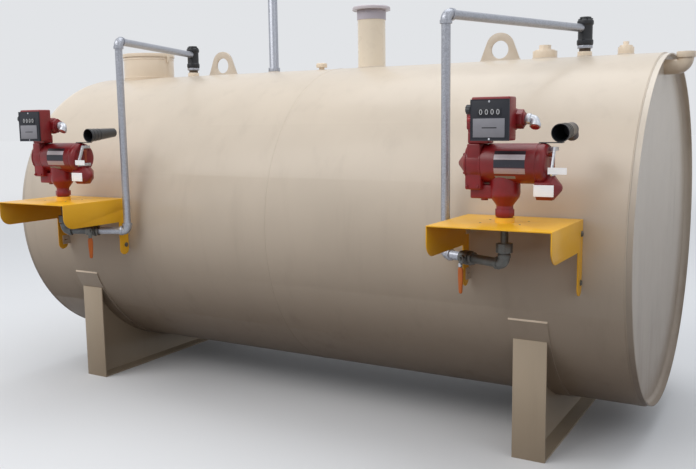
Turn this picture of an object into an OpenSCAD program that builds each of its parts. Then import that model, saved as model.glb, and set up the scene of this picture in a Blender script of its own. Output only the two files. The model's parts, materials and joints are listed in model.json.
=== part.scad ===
// Horizontal steel fuel tank on two saddles, with two transfer pumps on bracket shelves.
// Origin: on the ground, under the middle of the shell. +X runs along the tank, -Y is the pump side.

/* [Shell] */
// Outside diameter of the shell
tank_od = 1830; // [1500:10:2200]
// Length of the rolled shell
shell_len = 3825; // [3600:5:4600]
// Thickness of the shell plate
shell_t = 5; // [4:1:10]
// Height of the tank's axis above the ground
axis_h = 1050; // [1000:10:1400]

/* [Heads] */
// Thickness of each flanged head
head_t = 5; // [4:1:10]
// How far the head's flange stands out past the end of the shell
head_lip = 32; // [15:1:60]
// Depth from the flange's edge to the flat of the head
head_recess = 40; // [30:1:80]
// Radius of the bend between the flat and the flange
head_knuckle = 24; // [10:1:35]

/* [Saddles] */
// Distance from the middle of the tank to the left saddle
saddle_left_x = 1442; // [1200:1:1650]
// Distance from the middle of the tank to the right saddle
saddle_right_x = 1471; // [1200:1:1650]
// Width of a saddle along the tank
saddle_w = 165; // [120:5:260]
// Distance between the outer faces of a saddle's end plates
saddle_span = 1614; // [1500:2:1700]
// Thickness of the saddle plates
saddle_t = 10; // [6:1:16]
// Thickness of the wear pad between saddle and shell
pad_t = 6; // [4:1:10]
// Width of the wear pad along the tank
pad_w = 190; // [170:5:300]
// Arc that the wear pad covers, in degrees
pad_arc = 135; // [125:1:150]

/* [Lifting lugs] */
// Place of the left lug along the tank
lug_left_x = -946; // [-1100:1:-700]
// Place of the right lug along the tank
lug_right_x = 1023; // [900:1:1120]
// Length of a lug where it is welded on
lug_foot = 232; // [180:2:300]
// Length of a lug's rounded top
lug_top = 164; // [130:2:200]
// Height of a lug above the shell
lug_h = 155; // [140:1:220]
// Thickness of a lug
lug_t = 14; // [8:1:25]
// Diameter of the lifting eye
lug_eye = 100; // [60:2:104]

/* [Top fittings] */
// Place of the spill box along the tank
spill_x = -1620; // [-1680:1:-1500]
// Diameter of the spill box
spill_od = 352; // [300:2:380]
// Height of the spill box
spill_h = 152; // [120:2:220]
// Place of the emergency vent along the tank
riser_x = 204; // [50:1:400]
// Outside diameter of the emergency vent's riser
riser_od = 168.3; // [140:0.1:200]
// Height of the riser above the shell
riser_h = 281; // [200:1:400]
// Diameter of the emergency vent's cap
riser_cap_od = 230; // [210:2:260]
// Place of the tall vent pipe along the tank
vent_x = -523; // [-650:1:-350]
// Outside diameter of the tall vent pipe
vent_od = 60.3; // [48:0.1:76]
// Height of the tall vent's opening above the ground
vent_top = 3660; // [2600:10:4200]
// Place of the small gauge cap along the tank
gauge_x = -157; // [-250:1:-60]
// Place of the four inch inspection opening along the tank
inspect_x = 1279; // [1240:1:1340]
// Place of the spare opening along the tank
spare_x = 1708; // [1640:1:1780]
// Place of the left suction valve along the tank
valve_left_x = -1207; // [-1260:1:-1150]
// Place of the right suction valve along the tank
valve_right_x = 1495; // [1440:1:1560]
// Diameter of the body of a suction valve
valve_od = 86; // [70:1:100]

/* [Head vent] */
// Outside diameter of the vent elbow on the right head
head_vent_od = 76; // [60:1:90]
// Depth of the vent elbow's stub below the shell's top
head_vent_drop = 74; // [73:1:135]
// Distance from the head's flat to the upright end of the elbow
head_vent_reach = 98; // [80:1:130]

/* [Pump shelves] */
// Middle of the left shelf along the tank
shelf_left_x = -1255; // [-1300:1:-1240]
// Middle of the right shelf along the tank
shelf_right_x = 1467; // [1450:1:1500]
// Width of a shelf along the tank
shelf_w = 535; // [500:5:560]
// Depth of a shelf from the shell's side to its front edge
shelf_d = 481; // [440:1:560]
// Height of a shelf's top above the tank's axis
shelf_up = 150; // [110:1:180]
// Thickness of the bent plate of a shelf
shelf_t = 5; // [3:1:8]
// Height of the shelf's side plates
gusset_h = 138; // [110:1:144]
// Width of the strap that runs down at the back of a side plate
strap_w = 70; // [69:1:80]
// How far the strap reaches below the shelf's top
strap_h = 336; // [320:1:380]

/* [Suction piping] */
// Outside diameter of the suction pipe
pipe_od = 42.2; // [33:0.1:44]
// Place of the left drop pipe along the tank
drop_left_x = -908; // [-930:1:-880]
// Place of the right drop pipe along the tank
drop_right_x = 1120; // [1080:1:1140]
// Distance of the drop pipes in front of the shell
drop_gap = 85; // [70:1:105]
// Height of the crossover pipe above the shell's top
cross_rise = 147; // [120:1:170]
// Depth of the lower pipe run below the tank's axis
run_down = 32; // [25:1:60]
// Distance of the left ball valve from its drop pipe
ball_left = 214; // [130:1:230]
// Distance of the right ball valve from its drop pipe
ball_right = 148; // [130:1:200]
// Length of a ball valve's lever
lever_len = 160; // [110:1:190]
// Width of a ball valve's lever
lever_w = 26; // [18:1:34]

/* [Pumps] */
// Distance of the pump inlets in front of the shell
pump_gap = 235; // [215:1:265]
// Sideways distance from a shelf's middle to its pump's inlet
pump_dx = -9; // [-40:1:40]
// Radius of the pump motor
motor_r = 85; // [70:1:95]
// Height of the motor's axis above the shelf
motor_up = 252; // [235:1:270]
// Length of the motor
motor_len = 274; // [220:1:300]
// Width of the meter's face
meter_w = 163; // [140:1:180]
// Height of the meter's case
meter_h = 165; // [140:1:190]
// Depth of the meter's case behind its face
meter_d = 78; // [60:1:110]

/* [Hidden] */

$fn = 48;
// Gap left between curved faces that seat on each other
seat = 0.3;
tank_r = tank_od / 2;
half_len = shell_len / 2;
top_h = axis_h + tank_r;
drop_y = tank_r + drop_gap;
pump_y = tank_r + pump_gap;
skirt_r = tank_r - shell_t - seat;
head_face_x = half_len + head_lip - head_recess;
pad_r = tank_r + seat + pad_t;
cradle_r = pad_r + seat;

// Finish colours
tank_paint = "#d8d0c0";
galvanised = "#a9adb0";
pump_red = "#9c2430";
shelf_yellow = "#dca032";
black_iron = "#2a2b2d";

// Suction valve on the tank's top
coupling_r = 38;
coupling_h = 26;
valve_nipple_r = 30;
valve_nipple_h = 16;
valve_ring_r = 41;
valve_ring_h = 15;
valve_body_h = 149;
valve_foot_h = coupling_h + valve_nipple_h + valve_ring_h;

// Spill box
spill_gap = 14;
spill_wall = 4;
spill_skirt = 20;
spill_rim_h = 20;
spill_lid_t = 4;
spill_lid_r = spill_od / 2 + 7;
spill_bottom = top_h + spill_gap;
spill_top = spill_bottom + spill_h;
fill_pipe_r = 57;
fill_pipe_h = 92;
fill_cap_h = 30;
spill_hinge_x = spill_x - spill_lid_r - 8;
spill_hinge_r = 7;
hinge_pin_r = 4;
hinge_half = 46;
knuckle_w = 24;
hinge_leaf = 60;
hinge_pin_len = 124;
hinge_notch = 160;
hinge_drop = 8;
hasp_w = 24;
hasp_low = 62;
hasp_h = 26;

// Emergency vent
riser_wall = 7.1;
collar_h = 58;
collar_r = riser_od / 2 + 3;
cap_h = 22;
cap_round = 10;
cap_skirt_t = 5;
cap_stem_r = 8;
cap_stem_h = 100;
cap_lift = 38;
stub_cut = 60;
spider_t = 10;
spider_w = 14;

// Tall vent pipe
vent_wall = 3.9;
vent_socket_r = 38;
vent_socket_h = 30;
vent_cap_r = 48;
vent_cap_h = 62;

// Other openings on top
gauge_stem_r = 17;
gauge_stem_h = 15;
gauge_cap_r = 35;
gauge_cap_h = 28;
inspect_r = 66;
inspect_h = 40;
inspect_plug_r = 34;
inspect_plug_h = 32;
spare_r = 41;
spare_h = 38;
spare_plug_r = 33;
spare_plug_h = 9;
spare_key = 26;
spare_key_h = 20;

// Head vent elbow
head_vent_r = head_vent_od / 2;
head_vent_h = tank_r - head_vent_drop;
head_vent_wall = 6;
head_vent_bend = 44;
head_vent_ring_r = head_vent_r + 8;
head_vent_ring_h = 30;
head_vent_socket = 50;

// Shelf, its lugs and bolts
shelf_gap = 1.5;
shelf_back_y = tank_r + shelf_gap;
shelf_front_y = shelf_back_y + shelf_d;
shelf_h = axis_h + shelf_up;
gusset_round = 66;
strap_round = 34;
bolt_d = 13;
bolt_in = 21;
bolt_y = shelf_back_y + bolt_in;
bolt_drops = [62, 279];
lug_eye_up = lug_h * 0.4;
lug_round = 80;
lug_plate_t = 6;
lug_plate_h = 56;
lug_plate_out = 42;

// Piping
pipe_r = pipe_od / 2;
elbow_wall = 4;
elbow_r = pipe_r + elbow_wall;
band_wall = 7;
band_len = 15;
bend_room = 3;
inlet_r = 16.7;
run_h = axis_h - run_down;
cross_h = top_h + cross_rise;
union_r = 36;
union_low = 50;
union_h = 40;
ball_half = 38;
ball_body_r = 33;
ball_body_half = 19;
ball_end_r = 29;
stem_out = 42;
stem_r = 8;
stem_neck_r = 15;
lever_t = 4;
lever_gap = 0.5;
lever_boss_r = 17;
lever_waist_r = 9;
lever_waist = 52;
nut_h = 8;

// Pump, relative to its inlet on the shelf's top
boss_r = 42;
boss_h = 21;
foot_r = 36;
foot_h = 51;
ear_r = 43;
ear_h = 29;
ear_low = 7;
bowl_r = 37;
bowl_top_r = 65;
bowl_low = boss_h + foot_h;
bowl_high = 112;
motor_x0 = -84;
motor_x1 = motor_x0 + motor_len;
bell_len = 26;
bell_round = 16;
body_x0 = -148;
body_r = 84;
head_x0 = -156;
head_half_w = 70;
head_low = 141;
head_top = 337;
neck_y0 = -80;
neck_y1 = -6;
flange_r = 86;
flange_t = 8;
cover_r = 72;
cover_tip_r = 10;
cover_len = 54;
strainer_x0 = -142;
strainer_x1 = -40;
strainer_low = 102;
strainer_half_w = 42;
switch_x0 = 142;
switch_x1 = 246;
switch_tip = 37;
switch_tip_r = 10;
switch_r = 56;
switch_up = 153;
switch_sides = 8;

// Meter
meter_x0 = -74;
meter_y = -221;
meter_low = 352;
face_t = 12;
flow_y = -103;
flow_up = 437;
flow_r = 45;
port_r = 40;
port_len = 30;
port_sides = 6;
duct_x0 = -141;
duct_x1 = -49;
duct_y0 = -78;
duct_y1 = -8;
duct_neck = 28;
duct_step = 48;
side_boss_r = 14;
side_boss_len = 20;
side_boss_up = 437;
case_rise = 10;
knob_r = 20;
knob_len = 26;
knob_neck = 6;
knob_y = -190;
knob_up = 478;
knob_gap = 0.5;
outlet_r = 18;
outlet_band = 4;
outlet_nipple = 8;
outlet_turn = 30;

// Nozzle boot, hook and switch lever
boot_x = 232;
boot_y = 0;
boot_len = 170;
boot_straight = 205;
boot_r = 39;
boot_weld = 2;
boot_end_r = 30;
boot_knee_r = 31;
boot_wall = 3;
boot_tilt = 4;
boot_droop = 50;
boot_tip_len = 45;
boot_tip_r = 26;
boot_strap_t = 4;
boot_strap_x0 = 148;
boot_strap_w = 34;
boot_strap_end = 14;
boot_up = motor_up + motor_r + seat + boot_strap_t + boot_r - boot_weld;
hook_t = 16;
hook_w = 8;
hook_out = 24;
hook_low = 206;
hook_top = 322;
hook_front = -78;
hook_mid = -36;
hook_back = 22;
hook_tab = 16;
toggle_y = -4;
toggle_up = 290;
toggle_r = 9;
toggle_len = 62;
toggle_w = 14;
toggle_t = 5;
toggle_out = 16;

// Shared shapes

// Everything inside the shell's outer face, with the seating gap
module shell_space() {
    translate([-half_len * 2, 0, axis_h]) rotate([0, 90, 0])
        cylinder(r = tank_r + seat, h = half_len * 4, $fn = 180);
}

// Round piece that stands on top of the shell, cut to the shell's curve
module on_shell(x, r, h) {
    difference() {
        translate([x, 0, top_h - 40]) cylinder(r = r, h = h + 40);
        shell_space();
    }
}

// Cylinder along +X that starts at x0
module x_rod(x0, x1, r) {
    translate([x0, 0, 0]) rotate([0, 90, 0]) cylinder(r = r, h = x1 - x0);
}

// Block between two corners
module block(a, b) {
    translate(a) cube(b - a);
}

// Pipe elbow at the origin with one leg along +X and one along -Z
function elbow_reach(r) = r + bend_room + band_len;

module elbow(r, band) {
    bend = r + bend_room;
    translate([bend, 0, -bend]) rotate([90, 0, 0]) rotate([0, 0, 90])
        rotate_extrude(angle = 90) translate([bend, 0]) circle(r = r);
    translate([bend, 0, 0]) rotate([0, 90, 0]) cylinder(r = band, h = band_len);
    translate([0, 0, -bend - band_len]) cylinder(r = band, h = band_len);
}

module pipe_elbow() {
    elbow(elbow_r, pipe_r + band_wall);
}

// Tank

module shell() {
    color(tank_paint)
    translate([-half_len, 0, axis_h]) rotate([0, 90, 0]) difference() {
        cylinder(r = tank_r, h = shell_len, $fn = 180);
        translate([0, 0, -1]) cylinder(r = tank_r - shell_t, h = shell_len + 2, $fn = 180);
    }
}

// Section of a head: flat, knuckle and outward flange, as radius and depth
module head_section() {
    square([skirt_r - head_t, head_t]);
    translate([skirt_r - head_t, 0]) square([head_t, head_t + head_recess]);
    difference() {
        translate([skirt_r - head_t - head_knuckle, head_t]) square(head_knuckle);
        translate([skirt_r - head_t - head_knuckle, head_t + head_knuckle])
            circle(r = head_knuckle);
    }
}

module head() {
    color(tank_paint)
    translate([head_face_x - head_t, 0, axis_h]) rotate([0, 90, 0])
        rotate_extrude($fn = 180) head_section();
}

module head_left() { mirror([1, 0, 0]) head(); }
module head_right() { head(); }

// Saddles

module wear_pad(x) {
    reach = tank_od * 2;
    translate([x - pad_w / 2, 0, axis_h]) rotate([0, 90, 0]) intersection() {
        difference() {
            cylinder(r = pad_r, h = pad_w, $fn = 180);
            translate([0, 0, -1]) cylinder(r = tank_r + seat, h = pad_w + 2, $fn = 180);
        }
        linear_extrude(pad_w) polygon([[0, 0],
            [reach * cos(pad_arc / 2), -reach * sin(pad_arc / 2)],
            [reach * cos(pad_arc / 2), reach * sin(pad_arc / 2)]]);
    }
}

module wear_pads() {
    color(tank_paint) {
        wear_pad(-saddle_left_x);
        wear_pad(saddle_right_x);
    }
}

module saddle(x) {
    half = saddle_span / 2;
    top = axis_h - cradle_r * cos(asin((half - saddle_t / 2) / cradle_r));
    color(tank_paint) difference() {
        union() {
            block([x - saddle_w / 2, -half, 0], [x + saddle_w / 2, half, saddle_t]);
            block([x - saddle_t / 2, saddle_t - half, saddle_t], [x + saddle_t / 2, half - saddle_t, top]);
            block([x - saddle_w / 2, -half, saddle_t], [x + saddle_w / 2, saddle_t - half, top]);
            block([x - saddle_w / 2, half - saddle_t, saddle_t], [x + saddle_w / 2, half, top]);
        }
        translate([x - saddle_w, 0, axis_h]) rotate([0, 90, 0])
            cylinder(r = cradle_r, h = saddle_w * 2, $fn = 180);
    }
}

module saddle_left() { saddle(-saddle_left_x); }
module saddle_right() { saddle(saddle_right_x); }

// Lifting lugs

module lug_outline() {
    flat = lug_top / 2 - lug_round;
    hull() {
        translate([-lug_foot / 2, -30]) square([lug_foot, 31]);
        for (side = [-1, 1]) translate([side * flat, lug_h - lug_round]) circle(r = lug_round);
    }
}

module lifting_lugs() {
    color(tank_paint) for (x = [lug_left_x, lug_right_x]) difference() {
        translate([x, lug_t / 2, top_h]) rotate([90, 0, 0]) linear_extrude(lug_t) lug_outline();
        translate([x, lug_t, top_h + lug_eye_up]) rotate([90, 0, 0])
            cylinder(r = lug_eye / 2, h = lug_t * 2);
        shell_space();
    }
}

// Spill box with its fill pipe inside

module spill_box() {
    color(tank_paint) difference() {
        union() {
            translate([spill_x, 0, spill_bottom]) difference() {
                cylinder(r = spill_od / 2, h = spill_h, $fn = 72);
                translate([0, 0, spill_wall])
                    cylinder(r = spill_od / 2 - spill_wall, h = spill_h, $fn = 72);
            }
            translate([spill_x, 0, top_h - spill_skirt]) difference() {
                cylinder(r = spill_od / 2, h = spill_skirt + spill_gap + 1, $fn = 72);
                translate([0, 0, -1])
                    cylinder(r = spill_od / 2 - spill_wall, h = spill_skirt + spill_gap + 3, $fn = 72);
            }
            translate([spill_x, 0, top_h - 20])
                cylinder(r = fill_pipe_r, h = spill_gap + 20 + fill_pipe_h);
            translate([spill_x, 0, spill_bottom + fill_pipe_h])
                cylinder(r = fill_pipe_r + 8, h = fill_cap_h);
            for (side = [-1, 1]) translate([spill_hinge_x, side * hinge_half, spill_top - hinge_drop])
                rotate([90, 0, 0]) cylinder(r = spill_hinge_r, h = knuckle_w, center = true);
            for (side = [-1, 1])
                block([spill_hinge_x, side * hinge_half - knuckle_w / 2, spill_top - 15],
                    [spill_x - spill_od / 2 + 6, side * hinge_half + knuckle_w / 2, spill_top - 9]);
            block([spill_x + spill_od / 2 - 2, -hasp_w / 2, spill_top - hasp_low],
                [spill_x + spill_od / 2 + 5, hasp_w / 2, spill_top - hasp_low + hasp_h]);
        }
        translate([spill_hinge_x, 0, spill_top - hinge_drop]) rotate([90, 0, 0])
            cylinder(r = hinge_pin_r + seat, h = spill_od, center = true);
        shell_space();
    }
}

module spill_box_lid() {
    color(tank_paint) {
        translate([spill_x, 0, spill_top + seat]) difference() {
            translate([0, 0, -spill_rim_h])
                cylinder(r = spill_lid_r, h = spill_rim_h + spill_lid_t, $fn = 72);
            translate([0, 0, -spill_rim_h - 1])
                cylinder(r = spill_lid_r - 3, h = spill_rim_h + 1, $fn = 72);
            block([-spill_lid_r - 1, -hinge_notch / 2, -spill_rim_h - 1],
                [-spill_od / 2 + 20, hinge_notch / 2, 0]);
        }
        block([spill_hinge_x - 4, -hinge_leaf / 2, spill_top + seat],
            [spill_x - spill_lid_r + 12, hinge_leaf / 2, spill_top + spill_lid_t]);
        block([spill_hinge_x - 3, -hinge_leaf / 2, spill_top - 6],
            [spill_hinge_x + 3, hinge_leaf / 2, spill_top + spill_lid_t]);
        translate([spill_hinge_x, 0, spill_top - hinge_drop]) rotate([90, 0, 0]) {
            cylinder(r = spill_hinge_r, h = hinge_leaf, center = true);
            cylinder(r = hinge_pin_r, h = hinge_pin_len, center = true);
        }
        block([spill_x + spill_lid_r - 1, -14, spill_top - 58],
            [spill_x + spill_lid_r + 3, 14, spill_top + spill_lid_t]);
    }
}

// Emergency vent

module emergency_vent_riser() {
    color(tank_paint) difference() {
        union() {
            translate([riser_x, 0, top_h - 40]) cylinder(r = riser_od / 2, h = 40 + riser_h, $fn = 72);
            translate([riser_x, 0, top_h + riser_h]) cylinder(r = collar_r, h = collar_h, $fn = 72);
        }
        difference() {
            translate([riser_x, 0, top_h - stub_cut])
                cylinder(r = riser_od / 2 - riser_wall, h = riser_h * 2 + collar_h, $fn = 72);
            block([riser_x - riser_od / 2, -spider_w / 2, top_h + riser_h],
                [riser_x + riser_od / 2, spider_w / 2, top_h + riser_h + spider_t]);
        }
        translate([riser_x, 0, top_h]) cylinder(r = cap_stem_r + seat, h = riser_h + collar_h);
        shell_space();
    }
}

module emergency_vent_cap() {
    cap_low = top_h + riser_h + collar_h + seat;
    color("#b4b6b2") {
        translate([riser_x, 0, cap_low]) rotate_extrude($fn = 72) {
            difference() {
                square([riser_cap_od / 2, cap_h - cap_round]);
                translate([-1, -1]) square([riser_cap_od / 2 - cap_skirt_t + 1, 1 + 0.01]);
            }
            translate([0, cap_h - cap_round]) square([riser_cap_od / 2 - cap_round, cap_round]);
            translate([riser_cap_od / 2 - cap_round, cap_h - cap_round]) intersection() {
                circle(r = cap_round);
                square(cap_round);
            }
        }
        translate([riser_x, 0, cap_low - cap_stem_h]) cylinder(r = cap_stem_r, h = cap_stem_h + 1);
    }
}

// Tall vent pipe

module vent_pipe() {
    color(galvanised) difference() {
        union() {
            translate([vent_x, 0, top_h - 20]) cylinder(r = vent_od / 2, h = vent_top - top_h + 20);
            translate([vent_x, 0, top_h - 20]) cylinder(r = vent_socket_r, h = 20 + vent_socket_h);
        }
        translate([vent_x, 0, top_h - stub_cut])
            cylinder(r = vent_od / 2 - vent_wall, h = vent_top - top_h + stub_cut * 2);
        shell_space();
    }
}

module vent_pipe_cap() {
    color(galvanised) translate([vent_x, 0, vent_top - vent_cap_h + 8]) difference() {
        union() {
            cylinder(r = vent_od / 2 + 6, h = 24);
            translate([0, 0, 24]) cylinder(r1 = vent_od / 2 + 6, r2 = vent_cap_r, h = 14);
            translate([0, 0, 38]) cylinder(r = vent_cap_r, h = 14);
            translate([0, 0, 52]) cylinder(r1 = vent_cap_r, r2 = 24, h = 14);
        }
        translate([0, 0, -1]) cylinder(r = vent_od / 2 + seat, h = 1 + vent_cap_h - 8);
    }
}

// Smaller openings on top

module gauge_cap() {
    color(tank_paint) {
        on_shell(gauge_x, gauge_stem_r, gauge_stem_h);
        translate([gauge_x, 0, top_h + gauge_stem_h]) rotate_extrude() {
            square([gauge_cap_r - 9, gauge_cap_h]);
            square([gauge_cap_r, gauge_cap_h - 9]);
            translate([gauge_cap_r - 9, gauge_cap_h - 9]) circle(r = 9);
        }
    }
}

module inspection_fitting() {
    color(tank_paint) {
        on_shell(inspect_x, inspect_r, inspect_h);
        translate([inspect_x, 0, top_h + inspect_h]) {
            cylinder(r = inspect_r - 12, h = 6);
            translate([0, 0, 6]) cylinder(r = inspect_plug_r, h = inspect_plug_h - 6, $fn = 8);
        }
    }
}

module spare_fitting() {
    color(tank_paint) {
        on_shell(spare_x, spare_r, spare_h);
        translate([spare_x, 0, top_h + spare_h]) {
            cylinder(r = spare_plug_r, h = spare_plug_h);
            translate([-spare_key / 2, -spare_key / 2, spare_plug_h])
                cube([spare_key, spare_key, spare_key_h]);
        }
    }
}

module suction_couplings() {
    color(tank_paint) for (x = [valve_left_x, valve_right_x]) on_shell(x, coupling_r, coupling_h);
}

// Vent elbow on the right head

module head_vent_elbow() {
    up_x = head_face_x + head_vent_reach;
    color(tank_paint) difference() {
        translate([up_x, 0, axis_h + head_vent_h]) {
            x_rod(-head_vent_reach, -head_vent_bend, head_vent_r);
            translate([-head_vent_bend, 0, head_vent_bend]) rotate([90, 0, 0]) rotate([0, 0, -90])
                rotate_extrude(angle = 90) translate([head_vent_bend, 0]) circle(r = head_vent_r);
            translate([0, 0, head_vent_bend]) cylinder(r = head_vent_ring_r, h = head_vent_ring_h);
        }
        translate([up_x, 0, axis_h + head_vent_h + head_vent_bend + head_vent_ring_h
            - head_vent_socket])
            cylinder(r = head_vent_r - head_vent_wall, h = head_vent_socket + 1);
    }
}

// Plates welded to the shell that carry the shelves

module shelf_lugs() {
    color(tank_paint) difference() {
        for (x = [shelf_left_x, shelf_right_x], side = [-1, 1], drop = bolt_drops) {
            outer = x + side * (shelf_w / 2 - shelf_t);
            middle = outer - side * lug_plate_t / 2;
            block([middle - lug_plate_t / 2, -bolt_y - lug_plate_out / 2,
                shelf_h - drop - lug_plate_h / 2],
                [middle + lug_plate_t / 2, -tank_r / 2, shelf_h - drop + lug_plate_h / 2]);
        }
        for (x = [shelf_left_x, shelf_right_x], drop = bolt_drops)
            translate([x - shelf_w, -bolt_y, shelf_h - drop]) rotate([0, 90, 0])
                cylinder(r = bolt_d / 2, h = shelf_w * 2, $fn = 24);
        shell_space();
    }
}

// Pump shelf

// Side plate seen along the tank, with the shelf's back at zero and its top at zero
module gusset_outline() {
    difference() {
        union() {
            translate([-shelf_d, -gusset_h]) square([shelf_d, gusset_h]);
            translate([-strap_w, -strap_h + strap_round]) square([strap_w, strap_h - strap_round]);
            for (x = [-strap_round, strap_round - strap_w])
                translate([x, -strap_h + strap_round]) circle(r = strap_round);
            translate([-strap_w + strap_round, -strap_h])
                square([strap_w - strap_round * 2, strap_round]);
        }
        translate([gusset_round - shelf_d, gusset_round - gusset_h]) difference() {
            translate([-gusset_round - 1, -gusset_round - 1]) square(gusset_round + 1);
            circle(r = gusset_round);
        }
        for (drop = bolt_drops) translate([-bolt_in, -drop]) circle(r = bolt_d / 2);
    }
}

module pump_shelf(x) {
    color(shelf_yellow) difference() {
        union() {
            block([x - shelf_w / 2, -shelf_front_y, shelf_h - shelf_t],
                [x + shelf_w / 2, -shelf_back_y, shelf_h]);
            for (x0 = [x - shelf_w / 2, x + shelf_w / 2 - shelf_t])
                translate([x0, -shelf_back_y, shelf_h]) rotate([90, 0, 90])
                    linear_extrude(shelf_t) gusset_outline();
            translate([x + pump_dx, -pump_y, shelf_h - 1]) cylinder(r = boss_r, h = boss_h + 1);
        }
        translate([x + pump_dx, -pump_y, shelf_h - shelf_t - 1])
            cylinder(r = inlet_r + seat, h = shelf_t + boss_h + 2);
    }
}

// Suction valve and pipes

module suction_valve(x) {
    color(black_iron) translate([x, 0, top_h + coupling_h]) {
        cylinder(r = valve_nipple_r, h = valve_nipple_h);
        translate([0, 0, valve_nipple_h]) cylinder(r = valve_ring_r, h = valve_ring_h, $fn = 8);
        translate([0, 0, valve_nipple_h + valve_ring_h])
            cylinder(r = valve_od / 2, h = valve_body_h);
    }
}

// Direction in plan from the drop pipe to the valve, in degrees
function cross_angle(dx, vx) = atan2(drop_y, vx - dx);
function cross_len(dx, vx) = sqrt(pow(drop_y, 2) + pow(vx - dx, 2));

module crossover_pipe(dx, vx) {
    color(galvanised) difference() {
        translate([dx, -drop_y, cross_h]) rotate([0, 0, cross_angle(dx, vx)]) {
            pipe_elbow();
            x_rod(elbow_reach(elbow_r), cross_len(dx, vx) - valve_od / 4, pipe_r);
        }
        translate([vx, 0, top_h]) cylinder(r = valve_od / 2 + seat, h = valve_body_h * 2);
    }
}

module drop_pipe(dx) {
    reach = elbow_reach(elbow_r);
    color(galvanised) translate([dx, -drop_y, run_h + reach])
        cylinder(r = pipe_r, h = cross_h - run_h - reach * 2);
}

// Length and direction in plan of the lower run from the drop pipe to the pump's inlet
function run_len(dx, x) = norm([x + pump_dx - dx, pump_y - drop_y]);
function run_angle(dx, x) = atan2(drop_y - pump_y, x + pump_dx - dx);

// Turns a piece drawn along +X so that it runs from the drop pipe towards the inlet
module along_run(dx, x) {
    translate([dx, -drop_y, run_h]) rotate([0, 0, run_angle(dx, x)]) children();
}

module supply_run(dx, x, valve) {
    len = run_len(dx, x);
    reach = elbow_reach(elbow_r);
    color("#7d8082") along_run(dx, x) {
        mirror([0, 0, 1]) pipe_elbow();
        x_rod(reach, valve - ball_half, pipe_r);
        x_rod(valve + ball_half, len - reach, pipe_r);
        translate([len, 0, 0]) {
            rotate([0, 180, 0]) pipe_elbow();
            translate([0, 0, reach]) cylinder(r = pipe_r, h = union_low - reach);
            translate([0, 0, union_low]) cylinder(r = union_r, h = union_h, $fn = 8);
            translate([0, 0, union_low + union_h])
                cylinder(r = inlet_r, h = shelf_h + boss_h - run_h - union_low - union_h);
        }
    }
}

// Places a ball valve's parts with +X along the run and -Y out along the stem
module at_ball_valve(dx, x, valve) {
    along_run(dx, x) translate([valve, 0, 0]) mirror([0, x < dx ? 1 : 0, 0]) children();
}

module ball_valve(dx, x, valve) {
    color("#8b8d8c") at_ball_valve(dx, x, valve) {
        x_rod(-ball_half, ball_half, ball_end_r - 4);
        x_rod(-ball_half, -ball_half + 16, ball_end_r);
        x_rod(ball_half - 16, ball_half, ball_end_r);
        x_rod(-ball_body_half, ball_body_half, ball_body_r);
        rotate([90, 0, 0]) cylinder(r = stem_neck_r, h = stem_out - lever_gap);
        rotate([90, 0, 0]) cylinder(r = stem_r, h = stem_out + lever_t + lever_gap + nut_h);
    }
}

module valve_lever(dx, x, valve) {
    color("#d98f2b") at_ball_valve(dx, x, valve) translate([0, -stem_out, 0]) rotate([90, 0, 0])
        difference() {
            union() {
                linear_extrude(lever_t) hull() {
                    circle(r = lever_boss_r);
                    translate([0, -lever_waist]) circle(r = lever_waist_r);
                }
                translate([-lever_w / 2, -lever_len, 0])
                    cube([lever_w, lever_len - lever_waist, lever_t]);
            }
            translate([0, 0, -1]) cylinder(r = stem_r + seat, h = lever_t + 2);
        }
}

// Pump

module at_pump(x) {
    translate([x + pump_dx, -pump_y, shelf_h]) children();
}

module pump_casing(x) {
    color(pump_red) at_pump(x) difference() {
        union() {
            translate([0, 0, boss_h]) cylinder(r = foot_r, h = foot_h);
            translate([0, 0, boss_h + ear_low]) cylinder(r = ear_r, h = ear_h);
            translate([0, 0, bowl_low])
                cylinder(r1 = bowl_r, r2 = bowl_top_r, h = bowl_high - bowl_low);
            translate([0, 0, bowl_high]) cylinder(r = bowl_top_r, h = motor_up - bowl_high - motor_r / 2);
            translate([0, 0, motor_up]) {
                x_rod(body_x0 - 1, motor_x0, body_r);
                x_rod(body_x0 - flange_t, body_x0, flange_r);
            }
            block([head_x0, -head_half_w, head_low], [motor_x0, head_half_w, motor_up]);
            block([duct_x0 - 3, neck_y0, motor_up], [motor_x0, neck_y1, head_top]);
            block([strainer_x0, -strainer_half_w, strainer_low],
                [strainer_x1, strainer_half_w, head_low + 20]);
            translate([body_x0 - flange_t - cover_len, 0, motor_up]) rotate([0, 90, 0])
                cylinder(r1 = cover_tip_r, r2 = cover_r, h = cover_len + 1);
        }
        translate([0, 0, motor_up]) x_rod(motor_x0, motor_x1, motor_r + seat);
    }
}

module pump_motor(x) {
    color(pump_red) at_pump(x) translate([0, 0, motor_up]) {
        x_rod(motor_x0 + seat, motor_x1 - bell_len, motor_r);
        translate([motor_x1 - bell_len, 0, 0]) rotate([0, 90, 0]) rotate_extrude() {
            square([motor_r, bell_len - bell_round]);
            square([motor_r - bell_round, bell_len]);
            translate([motor_r - bell_round, bell_len - bell_round]) circle(r = bell_round);
        }
    }
}

module switch_box(x) {
    color(pump_red) at_pump(x) difference() {
        translate([0, 0, switch_up]) rotate([0, 90, 0]) rotate([0, 0, 180 / switch_sides]) {
            translate([0, 0, switch_x0])
                cylinder(r = switch_r, h = switch_x1 - switch_x0 - switch_tip, $fn = switch_sides);
            translate([0, 0, switch_x1 - switch_tip])
                cylinder(r1 = switch_r, r2 = switch_tip_r, h = switch_tip, $fn = switch_sides);
        }
        translate([0, 0, motor_up]) x_rod(motor_x0, motor_x1 + seat, motor_r + seat);
    }
}

// Meter

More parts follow.
